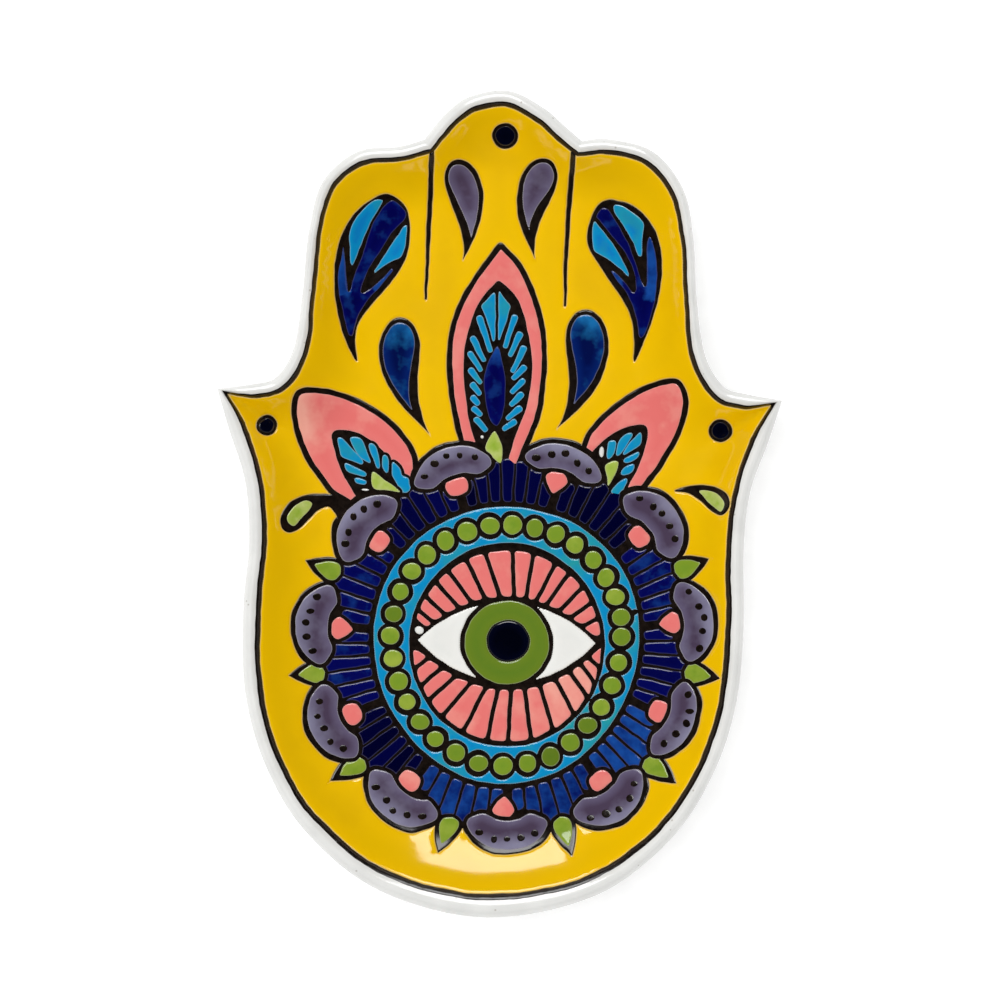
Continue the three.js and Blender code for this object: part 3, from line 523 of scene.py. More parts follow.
# Each glaze: what it is, its colour, its colours where it is deep and in patches, the share of white at its
# thin edge, the depth of a pool in mm from its edge, and the size in mm and share of its patches
GLAZES = {
    "yellow_glaze": ("poured yellow glaze", "yellow", "E7B700", "DDAA00", 0.3, 8.0, 14.0, 0.25),
    "lilac_glaze": ("pooled lilac glaze", "lilac", "4A3D53", "8886A0", 0.4, 2.0, 5.0, 0.2),
    "pink_glaze": ("pooled pink glaze", "pink", "E67470", "F2A898", 0.3, 2.0, 5.0, 0.3),
    "navy_glaze": ("pooled navy glaze", "navy", "02034A", "14489A", 0.07, 1.6, 3.0, 0.3),
    "pupil": ("thickly pooled navy glaze", "pupil", "01020C", "03051A", 0.04, 1.6, 3.0, 0.2),
    "blue_glaze": ("pooled blue glaze", "blue", "020E48", "1A7ABC", 0.25, 2.2, 4.0, 0.25),
    "cyan_glaze": ("pooled cyan glaze", "cyan", "0A7CC0", "2A9C90", 0.35, 1.2, 6.0, 0.4),
    "green_glaze": ("pooled green glaze", "green", "6E922A", "A8B848", 0.3, 2.4, 4.0, 0.25),
    "pale_green_glaze": ("pooled pale green glaze", "pale_green", "90AE38", "C8D08A", 0.35, 1.4, 3.0, 0.4),
    "eye_white_glaze": ("pooled white glaze", "eye_white", "EAEAE6", "E0E2DE", 0.2, 2.0, 5.0, 0.3),
}


def pooled_glaze(slot):
    """Glossy glaze that flowed and set in its cell: pale at the thin edge, deeper inside, softly patched."""
    title, main, deep, patch, pale, depth, mottle, share = GLAZES[slot]
    if title in bpy.data.materials:
        return bpy.data.materials[title]
    material, tree = empty_material(title)
    thin = blended(shade(main), solid("EDEDE9"), pale)
    place = add(tree, "ShaderNodeTexCoord").outputs["Object"]
    edge = add(tree, "ShaderNodeAttribute", {"attribute_name": "edge"}).outputs["Fac"]
    tone = add(tree, "ShaderNodeAttribute", {"attribute_name": "tone"}).outputs["Fac"]
    cloud = mottled(tree, place, mottle, 3, 0.55)
    way = ranged(tree, edge, {"From Max": depth})
    inside = add(tree, "ShaderNodeMixRGB", {"Color1": shade(main), "Color2": solid(deep)}, Fac=way)
    flow = ranged(tree, cloud, {"From Min": 0.35, "From Max": 0.65, "To Min": -share, "To Max": share})
    patched = add(tree, "ShaderNodeMath", {"operation": "ADD", "use_clamp": True})
    tree.links.new(flow, patched.inputs[0])
    tree.links.new(tone, patched.inputs[1])
    mixed = add(tree, "ShaderNodeMixRGB", {"Color2": solid(patch)}, Fac=patched.outputs["Value"],
                Color1=inside.outputs["Color"])
    thick = ranged(tree, tone, {"From Min": -0.2, "From Max": -0.8})
    dark = blended(solid(deep), (0, 0, 0, 1), 0.7)
    mixed = add(tree, "ShaderNodeMixRGB", {"Color2": dark}, Fac=thick, Color1=mixed.outputs["Color"])
    shore = ranged(tree, edge, {"From Max": 0.26})
    tint = add(tree, "ShaderNodeMixRGB", {"Color1": thin}, Fac=shore, Color2=mixed.outputs["Color"])
    gloss = ranged(tree, cloud, {"To Min": 0.05, "To Max": 0.13})
    glossy_coat(tree, tint, gloss, relief(tree, mottled(tree, place, 2.2, 1), 0.25, 0.04))
    return material


def resist_line():
    """Fired black resist line: almost black, brownish where thin, with a low gloss from the glaze fumes."""
    title = "fired black resist line"
    if title in bpy.data.materials:
        return bpy.data.materials[title]
    material, tree = empty_material(title)
    place = add(tree, "ShaderNodeTexCoord").outputs["Object"]
    streak = mottled(tree, place, 1.4, 4, 0.6)
    brown = blended(shade("black"), solid("3A2A1E"), 0.3)
    tint = add(tree, "ShaderNodeValToRGB", None, [(0.35, shade("black")), (0.75, brown)], Fac=streak)
    gloss = ranged(tree, streak, {"To Min": 0.1, "To Max": 0.3})
    glossy_coat(tree, tint, gloss, relief(tree, streak, 0.3, 0.03))
    return material


def white_glazed_earthenware():
    """Clear glaze on pale earthenware: bright, glossy, faintly clouded, with a few tiny iron specks."""
    title = "white glazed earthenware"
    if title in bpy.data.materials:
        return bpy.data.materials[title]
    material, tree = empty_material(title)
    place = add(tree, "ShaderNodeTexCoord").outputs["Object"]
    cloud = mottled(tree, place, 7, 4)
    dull = blended(shade("white"), solid("CDCDCA"), 0.35)
    clouded = add(tree, "ShaderNodeValToRGB", None, [(0.3, dull), (0.62, shade("white"))], Fac=cloud)
    grit = add(tree, "ShaderNodeTexVoronoi", {"Scale": 1 / (3.2 * MM)}, Vector=place).outputs["Distance"]
    speck = ranged(tree, grit, {"From Min": 0.05, "From Max": 0.08, "To Min": 0.5, "To Max": 0})
    tint = add(tree, "ShaderNodeMixRGB", {"Color2": solid("948A7C")}, Fac=speck,
               Color1=clouded.outputs["Color"])
    gloss = ranged(tree, cloud, {"To Min": 0.08, "To Max": 0.2})
    glossy_coat(tree, tint, gloss, relief(tree, mottled(tree, place, 4, 2), 0.35, 0.1))
    return material


def bare_biscuit():
    """Bare fired clay on the foot: warm, matt and gritty, because the glaze is wiped off before firing."""
    material, tree = empty_material("unglazed earthenware foot")
    place = add(tree, "ShaderNodeTexCoord").outputs["Object"]
    grit = mottled(tree, place, 0.8, 5, 0.7)
    dark = blended(shade("biscuit"), solid("897965"), 0.35)
    tint = add(tree, "ShaderNodeValToRGB", None, [(0.35, dark), (0.65, shade("biscuit"))], Fac=grit)
    surface = add(tree, "ShaderNodeBsdfPrincipled", {"IOR": GLAZE_IOR, "Roughness": 0.85},
                  Base_Color=tint.outputs["Color"], Normal=relief(tree, grit, 0.5, 0.1))
    add(tree, "ShaderNodeOutputMaterial", Surface=surface.outputs["BSDF"])
    return material


# The body

FOOT_EDGE = 0.25  # mm above the floor, where the glaze stops


def body_profile():
    """Stations and heights of the body, from the edge of the foot over the rim to the floor."""
    high = sizes("height")
    foot = sizes("foot_inset") / sizes("wall_run")
    wall = at(((foot - 0.03, 0), (foot, 0.35), (0.02, 2.7), (-0.35, 5.9), (-0.74, 9.2), (-0.97, high - 2.9),
               (-1, high - 2.2), (-0.98, high - 1.4), (-0.86, high - 0.7), (-0.7, high - 0.22), (-0.5, high)))
    outside = [(p.real, p.imag) for p in smooth(wall, closed=False, parts=4)]
    inside = [RIM_CREST + 0.05 * k for k in range(1, 10)] + [k / 16 for k in range(17)]
    return outside + [(station, inside_height(station)) for station in inside]


def dish_body():
    """The pressed body as one closed mesh: foot, outer wall, rounded rim, hollow inner wall and floor."""
    rings = hand_rings()
    profile = body_profile()
    corners = []
    for station, height in profile:
        for p in hand_ring(station, rings):
            press = 0.05 * noise.noise(Vector((p.real, p.imag, height)) / 9) if 1 < height < 13.5 else 0
            corners.append((p.real * (1 - press / 60), p.imag * (1 - press / 60), height))
    count = len(rings[0])
    faces = ring_faces(len(profile), count)
    last = (len(profile) - 1) * count
    faces.append(tuple(range(count - 1, -1, -1)))
    faces.append(tuple(range(last, last + count)))
    glaze = white_glazed_earthenware()
    piece = as_piece("dish_glazed_body", corners, faces, glaze, ["dish_body"], 55)
    piece.data.materials.append(bare_biscuit())
    for face in piece.data.polygons:
        if face.center.z < FOOT_EDGE * MM:
            face.material_index = 1
    return piece


# Motifs: outlines of the drawn figures

DOTS = {
    "finger_dot": (71.6j, 2.5),
    "left_thumb_dot": (-45.1 + 14.5j, 2.05),
    "right_thumb_dot": (43 + 15.3j, 2.3),
}
FINGER_LINES = (((-14.2, 68.6), (-14.4, 53), (-14.7, 39.5)), ((13.3, 68.6), (12.5, 53.5), (12.3, 38.7)))

# Drops: top, tip, width and bend of the black ground, end of the pool, and glaze
DROPS = {
    "lilac_drop_left": ((-9.9, 66.5), (-7.7, 47.4), 6.8, -4, (-6.4, 51), "lilac_glaze"),
    "lilac_drop_right": ((8.8, 67), (6.2, 48), 7, 4.3, (5.2, 53), "lilac_glaze"),
    "blue_drop_left": ((-18.8, 35.8), (-13.4, 13.6), 7.9, 5.9, (-16.5, 17.2), "blue_glaze"),
    "blue_drop_right": ((15.6, 38.1), (11.3, 15), 8.2, -6.3, (13.9, 19), "blue_glaze"),
}


def drop(top, tip, width, bend, sides=44):
    """A drop with a round head at its top and a bent tail."""
    top, tip = complex(*top), complex(*tip)
    axis = tip - top
    knee = (top + tip) / 2 - 1j * axis / abs(axis) * bend
    widest = 0.5 / 1.9
    left, right = [], []
    for k in range(1, sides):
        t = (k / sides) ** 1.5
        place = top * (1 - t) ** 2 + 2 * knee * t * (1 - t) + tip * t ** 2
        along = (knee - top) * (1 - t) + (tip - knee) * t
        half = width / 2 * math.sqrt(t / widest) * ((1 - t) / (1 - widest)) ** 1.4
        right.append(place - 1j * along / abs(along) * half)
        left.append(place + 1j * along / abs(along) * half)
    return straight([top, *right, tip, *left[::-1]])


def drop_outlines(name):
    """Pool and black ground of a drop."""
    top, tip, width, bend, pool_tip, _ = DROPS[name]
    line = sizes("line") * 0.85
    return drop((top[0], top[1] - line), pool_tip, width - 2 * line, bend * 0.7), drop(top, tip, width, bend)


# The feather drops: black ground, plume and two vanes
LEFT_LINE = ((-22.6, 59.8), (-19.3, 57.7), (-18.1, 53.5), (-18.8, 47.7), (-21.2, 43.2), (-24.7, 38.9),
             (-27.5, 34.9), (-28.2, 31.7), (-28.0, 27.3), (-30.8, 33.2), (-32.1, 39.0), (-32.5, 45.2),
             (-31.4, 51.2), (-28.8, 56.0), (-25.7, 58.6))
LEFT_PLUME = ((-21.8, 58.7), (-20.2, 57.9), (-18.9, 56.2), (-19.2, 55.0), (-21.6, 52.3), (-23.7, 48.7),
              (-25.5, 46.0), (-26.7, 43.1), (-27.2, 40.8), (-26.6, 40.8), (-23.6, 43.2), (-21.5, 45.5),
              (-21.2, 45.0), (-23.2, 42.3), (-26.0, 38.9), (-27.7, 35.7), (-28.6, 32.4), (-29.5, 32.5),
              (-30.4, 35.2), (-31.5, 39.9), (-31.9, 43.9), (-31.3, 47.0), (-30.9, 49.6), (-30.4, 47.0),
              (-30.1, 43.3), (-29.6, 40.8), (-28.8, 43.7), (-27.3, 47.8), (-26.0, 52.0), (-25.0, 54.7),
              (-23.3, 57.5))
LEFT_OUTER_VANE = ((-23.6, 58.6), (-23.9, 57.4), (-25.6, 54.0), (-27.3, 50.0), (-28.9, 45.9),
                   (-29.4, 46.2), (-29.7, 49.3), (-29.9, 51.5), (-29.4, 53.7), (-27.7, 56.4),
                   (-25.3, 58.5))
LEFT_INNER_VANE = ((-18.7, 53.9), (-18.9, 50.4), (-19.7, 47.7), (-21.5, 46.7), (-23.2, 45.6),
                   (-24.8, 44.4), (-24.9, 44.9), (-23.3, 47.6), (-21.3, 50.8), (-19.4, 53.7))
RIGHT_LINE = ((20.6, 59.8), (22.7, 59.5), (24.9, 58.8), (27.5, 56.6), (29.6, 53.6), (30.6, 50.1),
              (30.9, 46.1), (30.6, 42.4), (29.8, 38.4), (28.1, 33.2), (26, 28.4), (26, 32.4), (25.3, 36.9),
              (23.6, 40.3), (20.7, 44.3), (17.8, 48.7), (16.5, 51.2), (16.5, 53.6), (17.2, 56.4),
              (18.5, 58.8))
RIGHT_PLUME = ((19.6, 58.2), (20.5, 57.7), (22.4, 54.9), (24.3, 51.6), (25.6, 48.4), (26.6, 45.3),
               (27.8, 42.9), (28, 46.1), (27.9, 50.3), (28.4, 52.6), (29.2, 51.5), (30, 47.1),
               (29.9, 41.4), (29, 36.9), (27.9, 33.6), (27.2, 32.9), (26.7, 33.6), (26.2, 36.6),
               (24.7, 40.7), (22.1, 44.2), (21.1, 45.8), (21.7, 45.9), (23.8, 43.8), (25.6, 41.8),
               (26, 42.7), (25.1, 46.5), (23.7, 49.4), (21.2, 52.5), (18.6, 55.6), (18, 56.2),
               (18.3, 57.2), (19, 58.1))
RIGHT_OUTER_VANE = ((21.8, 58.9), (23.2, 58.6), (25.4, 57.2), (27.3, 55.3), (27.3, 53.1), (27, 48.8),
                    (26.3, 48.8), (25, 51.8), (23.6, 54.2), (21.5, 57.3), (21.3, 58.4))
RIGHT_INNER_VANE = ((17.7, 55.5), (19.3, 53.8), (21.5, 51.1), (23.2, 48.2), (24.6, 45.4), (24.4, 44.8),
                    (22.8, 46.3), (20.4, 48.1), (17.9, 49.7), (17.3, 51.7), (17.3, 54.1))
FEATHERS = {"left": (LEFT_LINE, LEFT_PLUME, LEFT_OUTER_VANE, LEFT_INNER_VANE),
            "right": (RIGHT_LINE, RIGHT_PLUME, RIGHT_OUTER_VANE, RIGHT_INNER_VANE)}


def feather_outlines(side):
    """Black ground, plume and the two vanes of a feather drop."""
    return [smooth(at(points)) for points in FEATHERS[side]]


# The eye medallion

MEDALLION = 2.6 - 27j
PETALS = 11
PETAL_START = -88.8  # degrees, the scallop nearest the wrist
GROUND_RADIUS = 35
LOTUS_GAPS = (4, 5, 6)  # gaps between scallops that a lotus petal fills instead of a leaf
RING, BEAD_ORBIT = 2.5 - 27.1j, 22.95
RING_OUTER, RING_INNER = 3.45, (18.95, 19.75)  # outside the circle of beads, and the radii inside it
BEADS, BEAD_RADIUS, BEAD_LINE = 32, 1.87, 0.68
EYE, EYE_HALF_LENGTH, EYE_RISE = 2.4 - 26.45j, 17.3, 8.0
IRIS, IRIS_RADIUS, PUPIL, PUPIL_RADIUS = EYE - 0.25j, 8.2, EYE + 0.35 + 0.1j, 4
# Half outlines, across and outwards from the medallion's middle
SCALLOP = ((0, 40.3), (4, 39.5), (6.6, 37.5), (7.8, 35.4), (7.4, 34.2), (5.8, 33.4), (4.4, 33.2),
           (3.3, 33.7), (1.9, 34.3), (0, 34.5))
LEAF = ((0, 35), (1.5, 35.6), (1.9, 37), (1.2, 38.9), (0, 40.6))
LEAF_GROUND = ((0, 33.8), (2.5, 35.2), (2.6, 37.2), (1.6, 39.8), (0, 42.3))
PINK_BEAD = ((0, 33.7), (1.5, 33.5), (2.2, 32.6), (2.1, 31.3), (1.5, 30.4), (0, 30.1))
POINTED_BEAD = ((0, 33.8), (1.4, 33.4), (2.2, 32.3), (1.7, 31.1), (0.8, 30), (0, 29.4))
POINTED_BEADS = (0, 3, 5, 8)
# A hand set each scallop by eye: degrees that it strays, and mm that its outer and its inner edge stand out
PETAL_TURN = (-0.2, 1, 0, -1, -1.2, -1.1, 1.3, 1.3, 2.1, -0.2, -1.8)
PETAL_REACH = (-0.2, 0.3, -1, -0.1, 1.4, 0.1, -0.3, 0.3, 1.2, 1.5, 0.9)
PETAL_ROOT = (-0.3, -0.2, -0.4, -0.2, 0.8, 1, -0.1, -0.4, 0.6, 1, 0.5)
# And so with the rest: mm that each pink bead lies aside, and that each leaf's tip stands out and lies aside
BEAD_STRAY = (0.7, -0.3, -0.4, -0.1, 0.2, -0.6, -0.1, -0.6, -0.5, 0.1, 0.7)
LEAF_REACH = (0.8, 0, -0.6, 0, 0, 0, 0, 0.2, 0.7, 1.1, 0.4)
LEAF_LEAN = (0, -0.7, 0.5, 0.3, 0, 0, 0, -0.2, 0.7, 1.7, 1)
# Foot of scallops and leaves from the medallion's middle, and their heights, over which they stand out
PETAL_FOOT, SCALLOP_HEIGHT, LEAF_HEIGHT = 34, 6.3, 8.5
LEAN_FOOT, LEAN_HEIGHT = 33, 10  # where a leaf starts to lean, and the height over which it does
# The dots drawn on a scallop, across and outwards, and the tone of the fan after each scallop
SCALLOP_DOTS = ((-5.4, 36.4), (-2.8, 37.9), (-0.2, 38.3), (2.4, 37.9), (5.1, 36.6))
FAN_TONES = (0.4, 0.8, -0.3, 0.05, -0.7, -0.7, -0.55, 0.05, -0.05, -0.7, 0.5)
FAN_PITCH, FAN_MARGIN = 2.5, 1.2  # degrees that half a fan has for each cell, and that stay black at its side
FAN_REACH, FAN_FALL = 35.6, 4.2  # outer end of a fan's middle cells, and how much less it is at the sides
# Black that stays between neighbouring pools
SCALLOP_LINE, PINK_LINE, LEAF_LINE, CELL_LINE, RAY_LINE_HALF = 0.65, 0.55, 0.6, 0.45, 0.36
RAY_REACH, RAY_SWELL = 18.3, 0.6  # outer ends of the rays from the ring's middle, and more below the eye
RAY_CLEAR = (0.6, 1.4)  # from the upper and the lower lid to the rays
PALE_RAYS = [0] * 20 + [0.25, 0.15, 0.3, 0.5, 0.7, 0.8, 0.2, 0]  # tones, from the right end round the eye
# Lines between the rays in degrees about the ring's middle, each at its outer and its inner end
RAY_LINES = (
    ((5.8, 5.4), (17, 14.8), (27.3, 24.3), (38, 34.3), (50, 47), (60.2, 58.1), (74.9, 69.8), (87.7, 83.7),
     (104.8, 100.6), (116.9, 117.3), (130.1, 131.3), (140, 143.8), (150.5, 154.9), (160.1, 164),
     (166.7, 169.9)),
    ((183.1, 183.5), (195.7, 190.7), (206.7, 200.7), (216.6, 212.4), (229, 227.2), (243.8, 245.1),
     (259.2, 259.5), (271.7, 276.2), (285.2, 292.9), (299.3, 309.8), (315.2, 325.3), (328.2, 337.5),
     (337.6, 345.9), (347.4, 351.9), (360.5, 360.2)),
)
TEAL_PATCHES = ((52, 22, 0.55), (-42, 24, 0.6))  # of the cyan ring: degrees, half width in degrees and tone
RING_SPECK = (27.1 - 20.2j, 0.55, 0.5)  # a spot that the cyan ring leaves black: place and half sizes
# Specks that the glazes missed, so the white shows: place and half sizes
SPECKS = ((-14.6, -24.6, 0.85, 0.8), (-25.7, 2.4, 0.8, 0.25), (-3.2, 13.1, 0.35, 0.35),
          (20, 10.7, 0.5, 1.1))


def turned(points, degrees):
    """Points given across and outwards from the medallion's middle, turned to an angle."""
    out = cmath.exp(1j * math.radians(degrees))
    return [MEDALLION + out * (p.imag - 1j * p.real) for p in points]


def petal_angle(k):
    return PETAL_START + 360 / PETALS * k + PETAL_TURN[k % PETALS]


def gap_angle(k):
    """Middle of the gap after a scallop."""
    return (petal_angle(k) + petal_angle(k + 1)) / 2


def leaf_gaps():
    return [k for k in range(PETALS) if k not in LOTUS_GAPS]


def scallop(k):
    root, reach = PETAL_ROOT[k % PETALS], PETAL_REACH[k % PETALS]
    half = [p + 1j * (root + (reach - root) * (p.imag - PETAL_FOOT) / SCALLOP_HEIGHT) for p in at(SCALLOP)]
    return smooth(turned(both_sides(half), petal_angle(k)))


def gap_reach(k):
    """How far the gap after a scallop stands out, between its two neighbours."""
    return (PETAL_ROOT[k % PETALS] + PETAL_ROOT[(k + 1) % PETALS]) / 2


def pointed(half, k):
    """An outline in the gap after a scallop, pointed at both ends, from its right half."""
    root = gap_reach(k)
    half = [p + 1j * (root + (LEAF_REACH[k] - root) * (p.imag - PETAL_FOOT) / LEAF_HEIGHT) for p in at(half)]
    right, left = smooth(half, closed=False), smooth(mirrored(half)[::-1], closed=False)
    both = (*right[:-1], *left[:-1])
    return turned([p + LEAF_LEAN[k] * (p.imag - LEAN_FOOT) / LEAN_HEIGHT for p in both], gap_angle(k))


def pink_bead(k):
    k %= PETALS
    half = POINTED_BEAD if k in POINTED_BEADS else PINK_BEAD
    place = complex(BEAD_STRAY[k], 0.3 + 0.8 * PETAL_ROOT[k])
    return smooth(turned([p + place for p in both_sides(at(half))], petal_angle(k)))


def on_ring(way, degrees):
    """A point on the circle of beads, which the hand drew a little three-sided, or a way outside it."""
    t = math.radians(degrees)
    aside = 0.2 * math.cos(t) * (1 - math.sin(t))
    reach = BEAD_ORBIT + 0.25 * math.sin(t) - 0.55 * math.cos(2 * t) + 0.4 * math.sin(3 * t) - aside
    return RING + (reach + way) * cmath.exp(1j * t)


def bead_middles():
    """Middles of the beads, set a little closer at the upper right."""
    turns = [5 + 360 / BEADS * k - 7.8 * math.sin(math.pi * k / BEADS) ** 0.7 for k in range(BEADS)]
    return [on_ring(0, turn) for turn in turns]


def fan_cells(k):
    """Radial cells of one navy fan between the cyan ring and the scallops, the middle ones longest."""
    half_span = (petal_angle(k + 1) - petal_angle(k)) / 2 - FAN_MARGIN
    count = round(half_span / FAN_PITCH)
    pitch = 2 * half_span / count
    cells = []
    for c in range(count):
        away = (c - (count - 1) / 2) * pitch
        degrees = gap_angle(k) + away
        inner = abs(on_ring(RING_OUTER + 0.8, degrees) - MEDALLION)
        outer = FAN_REACH + gap_reach(k) - FAN_FALL * (away / half_span) ** 2
        spread = math.radians(pitch) / 2
        half_in, half_out = inner * spread - 0.24, outer * spread - 0.14
        corners = ((-half_in, inner), (half_in, inner), (half_out, outer - 0.6), (half_out * 0.4, outer),
                   (-half_out * 0.4, outer), (-half_out, outer - 0.6))
        cells.append(rounded(turned(at(corners), degrees), 0.7))
    return cells


def lid(side, rise, steps=60):
    """One lid of the eye, from one end to the other, as an arc."""
    radius = (EYE_HALF_LENGTH ** 2 + rise ** 2) / (2 * rise)
    reach = math.asin(EYE_HALF_LENGTH / radius)
    turns = [reach * (1 - 2 * k / steps) for k in range(steps + 1)]
    return [EYE + side * complex(radius * math.sin(t), radius * math.cos(t) - radius + rise) for t in turns]


def eye_outline():
    return [*lid(1, EYE_RISE - 0.4)[:-1], *lid(-1, EYE_RISE + 0.1)[:-1]]


def to_lid(degrees):
    """Distance from the ring's middle to the lid at an angle."""
    radius = (EYE_HALF_LENGTH ** 2 + EYE_RISE ** 2) / (2 * EYE_RISE)
    side = 1 if math.sin(math.radians(degrees)) > 0 else -1
    ray = cmath.exp(1j * math.radians(degrees))
    middle = EYE - RING - 1j * side * (radius - EYE_RISE)
    along = (ray.conjugate() * middle).real
    return along + math.sqrt(along ** 2 - abs(middle) ** 2 + radius ** 2)


def ray_end(degrees):
    """Outer end of a ray, just inside the ring."""
    turn = math.radians(degrees)
    return RING + (RAY_REACH + RAY_SWELL * max(0, -math.sin(turn)) ** 2) * cmath.exp(1j * turn)


def ray_cells():
    """Pink rays between the lids and the ring, above and below the eye."""
    cells = []
    for lines, gap in zip(RAY_LINES, RAY_CLEAR):
        ends = []
        for outside, inside in lines:
            near = min(to_lid(inside) + gap, 17.9)
            ends.append((RING + near * cmath.exp(1j * math.radians(inside)), ray_end(outside)))
        for (foot, top), (next_foot, next_top), (a, _), (b, _) in zip(ends, ends[1:], lines, lines[1:]):
            side = RAY_LINE_HALF * 1j * (top - foot) / abs(top - foot)
            next_side = RAY_LINE_HALF * 1j * (next_top - next_foot) / abs(next_top - next_foot)
            far = ray_end((a + b) / 2)
            near_side, far_side = [foot + side, top + side], [next_top - next_side, next_foot - next_side]
            cells.append(rounded([*near_side, far, *far_side], 0.8))
    return cells


# Lotus petals: runs of the band's outer and inner edge from one foot over the tip to the other, the end of
# the black ground below the scallops, the bud, and the feather cells

LOTUS = {
    "centre": {
        "outer": (((-7.0, 11.7), (-8.8, 18.2), (-9.9, 26.9), (-9.2, 35.1), (-5.5, 43.3), (-0.4, 50.5)),
                  ((-0.4, 50.5), (4.2, 45.1), (7.7, 35.9), (8.5, 27.3), (7.8, 18.6), (5.5, 12.0))),
        "root": ((2.2, 3), (-2.2, 3)),
        "inner": (((-2.3, 8.6), (-4.9, 13.9), (-6.2, 20.4), (-6.9, 26.9), (-5.9, 34.0), (-3.8, 39.5),
                   (-0.6, 43.4)),
                  ((-0.6, 43.4), (2.7, 40.2), (4.7, 34.3), (5.8, 27.2), (5.3, 20.7), (3.5, 15.2),
                   (1.6, 8.6))),
        "bud": ((-0.8, 14.4), (0.5, 12.4), (0.9, 10.4), (0.4, 8.1), (-1.4, 9.4), (-2.5, 10.9),
                (-1.9, 12.9)),
    },
    "left": {
        "outer": (((-32.3, 1.9), (-37.3, 8.9), (-39.8, 16.5), (-38.9, 20.9), (-34.1, 21.4), (-27.9, 19.7),
                   (-21.8, 16), (-17.7, 11.7), (-16.2, 8.5), (-16, 6.3)),),
        "root": ((-13.5, -1), (-18, -5), (-24, -3)),
        "inner": (((-27.8, 2.0), (-30.0, 5.8), (-31.5, 10.1), (-31.8, 13.6), (-27.7, 13.2), (-23.6, 10.8),
                   (-21, 7.9), (-19.7, 6.2), (-18.6, 4.8)),),
        "bud": ((-24.6, 5.8), (-23.9, 5.9), (-21.8, 4.4), (-19.9, 3.1), (-18.8, 2.0), (-21.8, 2.3),
                (-23.8, 2.5), (-24.6, 4.0)),
    },
    "right": {
        "outer": (((16.4, 11), (17.8, 14.6), (21.4, 18.6), (27.9, 23.1), (34, 24.7), (36, 21.4),
                   (35.2, 15.7), (31.9, 9), (28.2, 4)),),
        "root": ((22, -3), (17, -2), (15, 3)),
        "inner": (((18.0, 9.8), (20.1, 12.3), (23.9, 15.0), (28.2, 15.7), (28.3, 12.5), (26.8, 7.5),
                   (23.9, 2.9)),),
        "bud": ((20.8, 8.1), (22.5, 9.0), (23.4, 8.6), (22.8, 6.2), (21.5, 4.0), (21.2, 5.7)),
    },
}
LOTUS_CORE = ((-0.7, 30.8), (0.4, 28.0), (1.2, 24.3), (1.1, 20.0), (0.5, 16.8), (-0.4, 15.3), (-1.7, 16.2),
              (-2.7, 19.6), (-3.1, 24.2), (-2.2, 28.2))
# The middle petal's feathers: two long cells at the top, then pairs of slanting cells with tip and foot
TOP_FEATHERS = (((-1.5, 41.4), (-4.0, 38.6), (-3.4, 37.3), (-1.6, 31.6), (-1.1, 31.8), (-1.1, 41.0)),
                ((-0.4, 41.7), (1.9, 38.8), (0.9, 35.3), (-0.3, 31.8), (-0.7, 32.0), (-0.6, 41.4)))
SLANTING_FEATHERS = ((-4.4, 36.7, -1.9, 29.6), (-5.6, 32.7, -3.0, 27.7), (-6.1, 29.7, -3.6, 25.7),
                     (-6.1, 26.4, -3.5, 23.3), (-5.6, 23.6, -3.7, 21.2), (-5.5, 21.1, -3.9, 19.3),
                     (-5.3, 19.0, -3.4, 17.2), (-4.8, 16.9, -2.3, 14.2), (2.7, 37.1, 0.7, 30.4),
                     (3.9, 33.7, 1.6, 28.8), (4.6, 31.0, 2.3, 25.7), (4.9, 27.2, 2.4, 24.4),
                     (4.8, 24.6, 2.2, 21.6), (4.6, 21.9, 2.0, 19.2), (4.3, 19.2, 1.3, 16.6),
                     (3.3, 16.5, 0.7, 14.5))
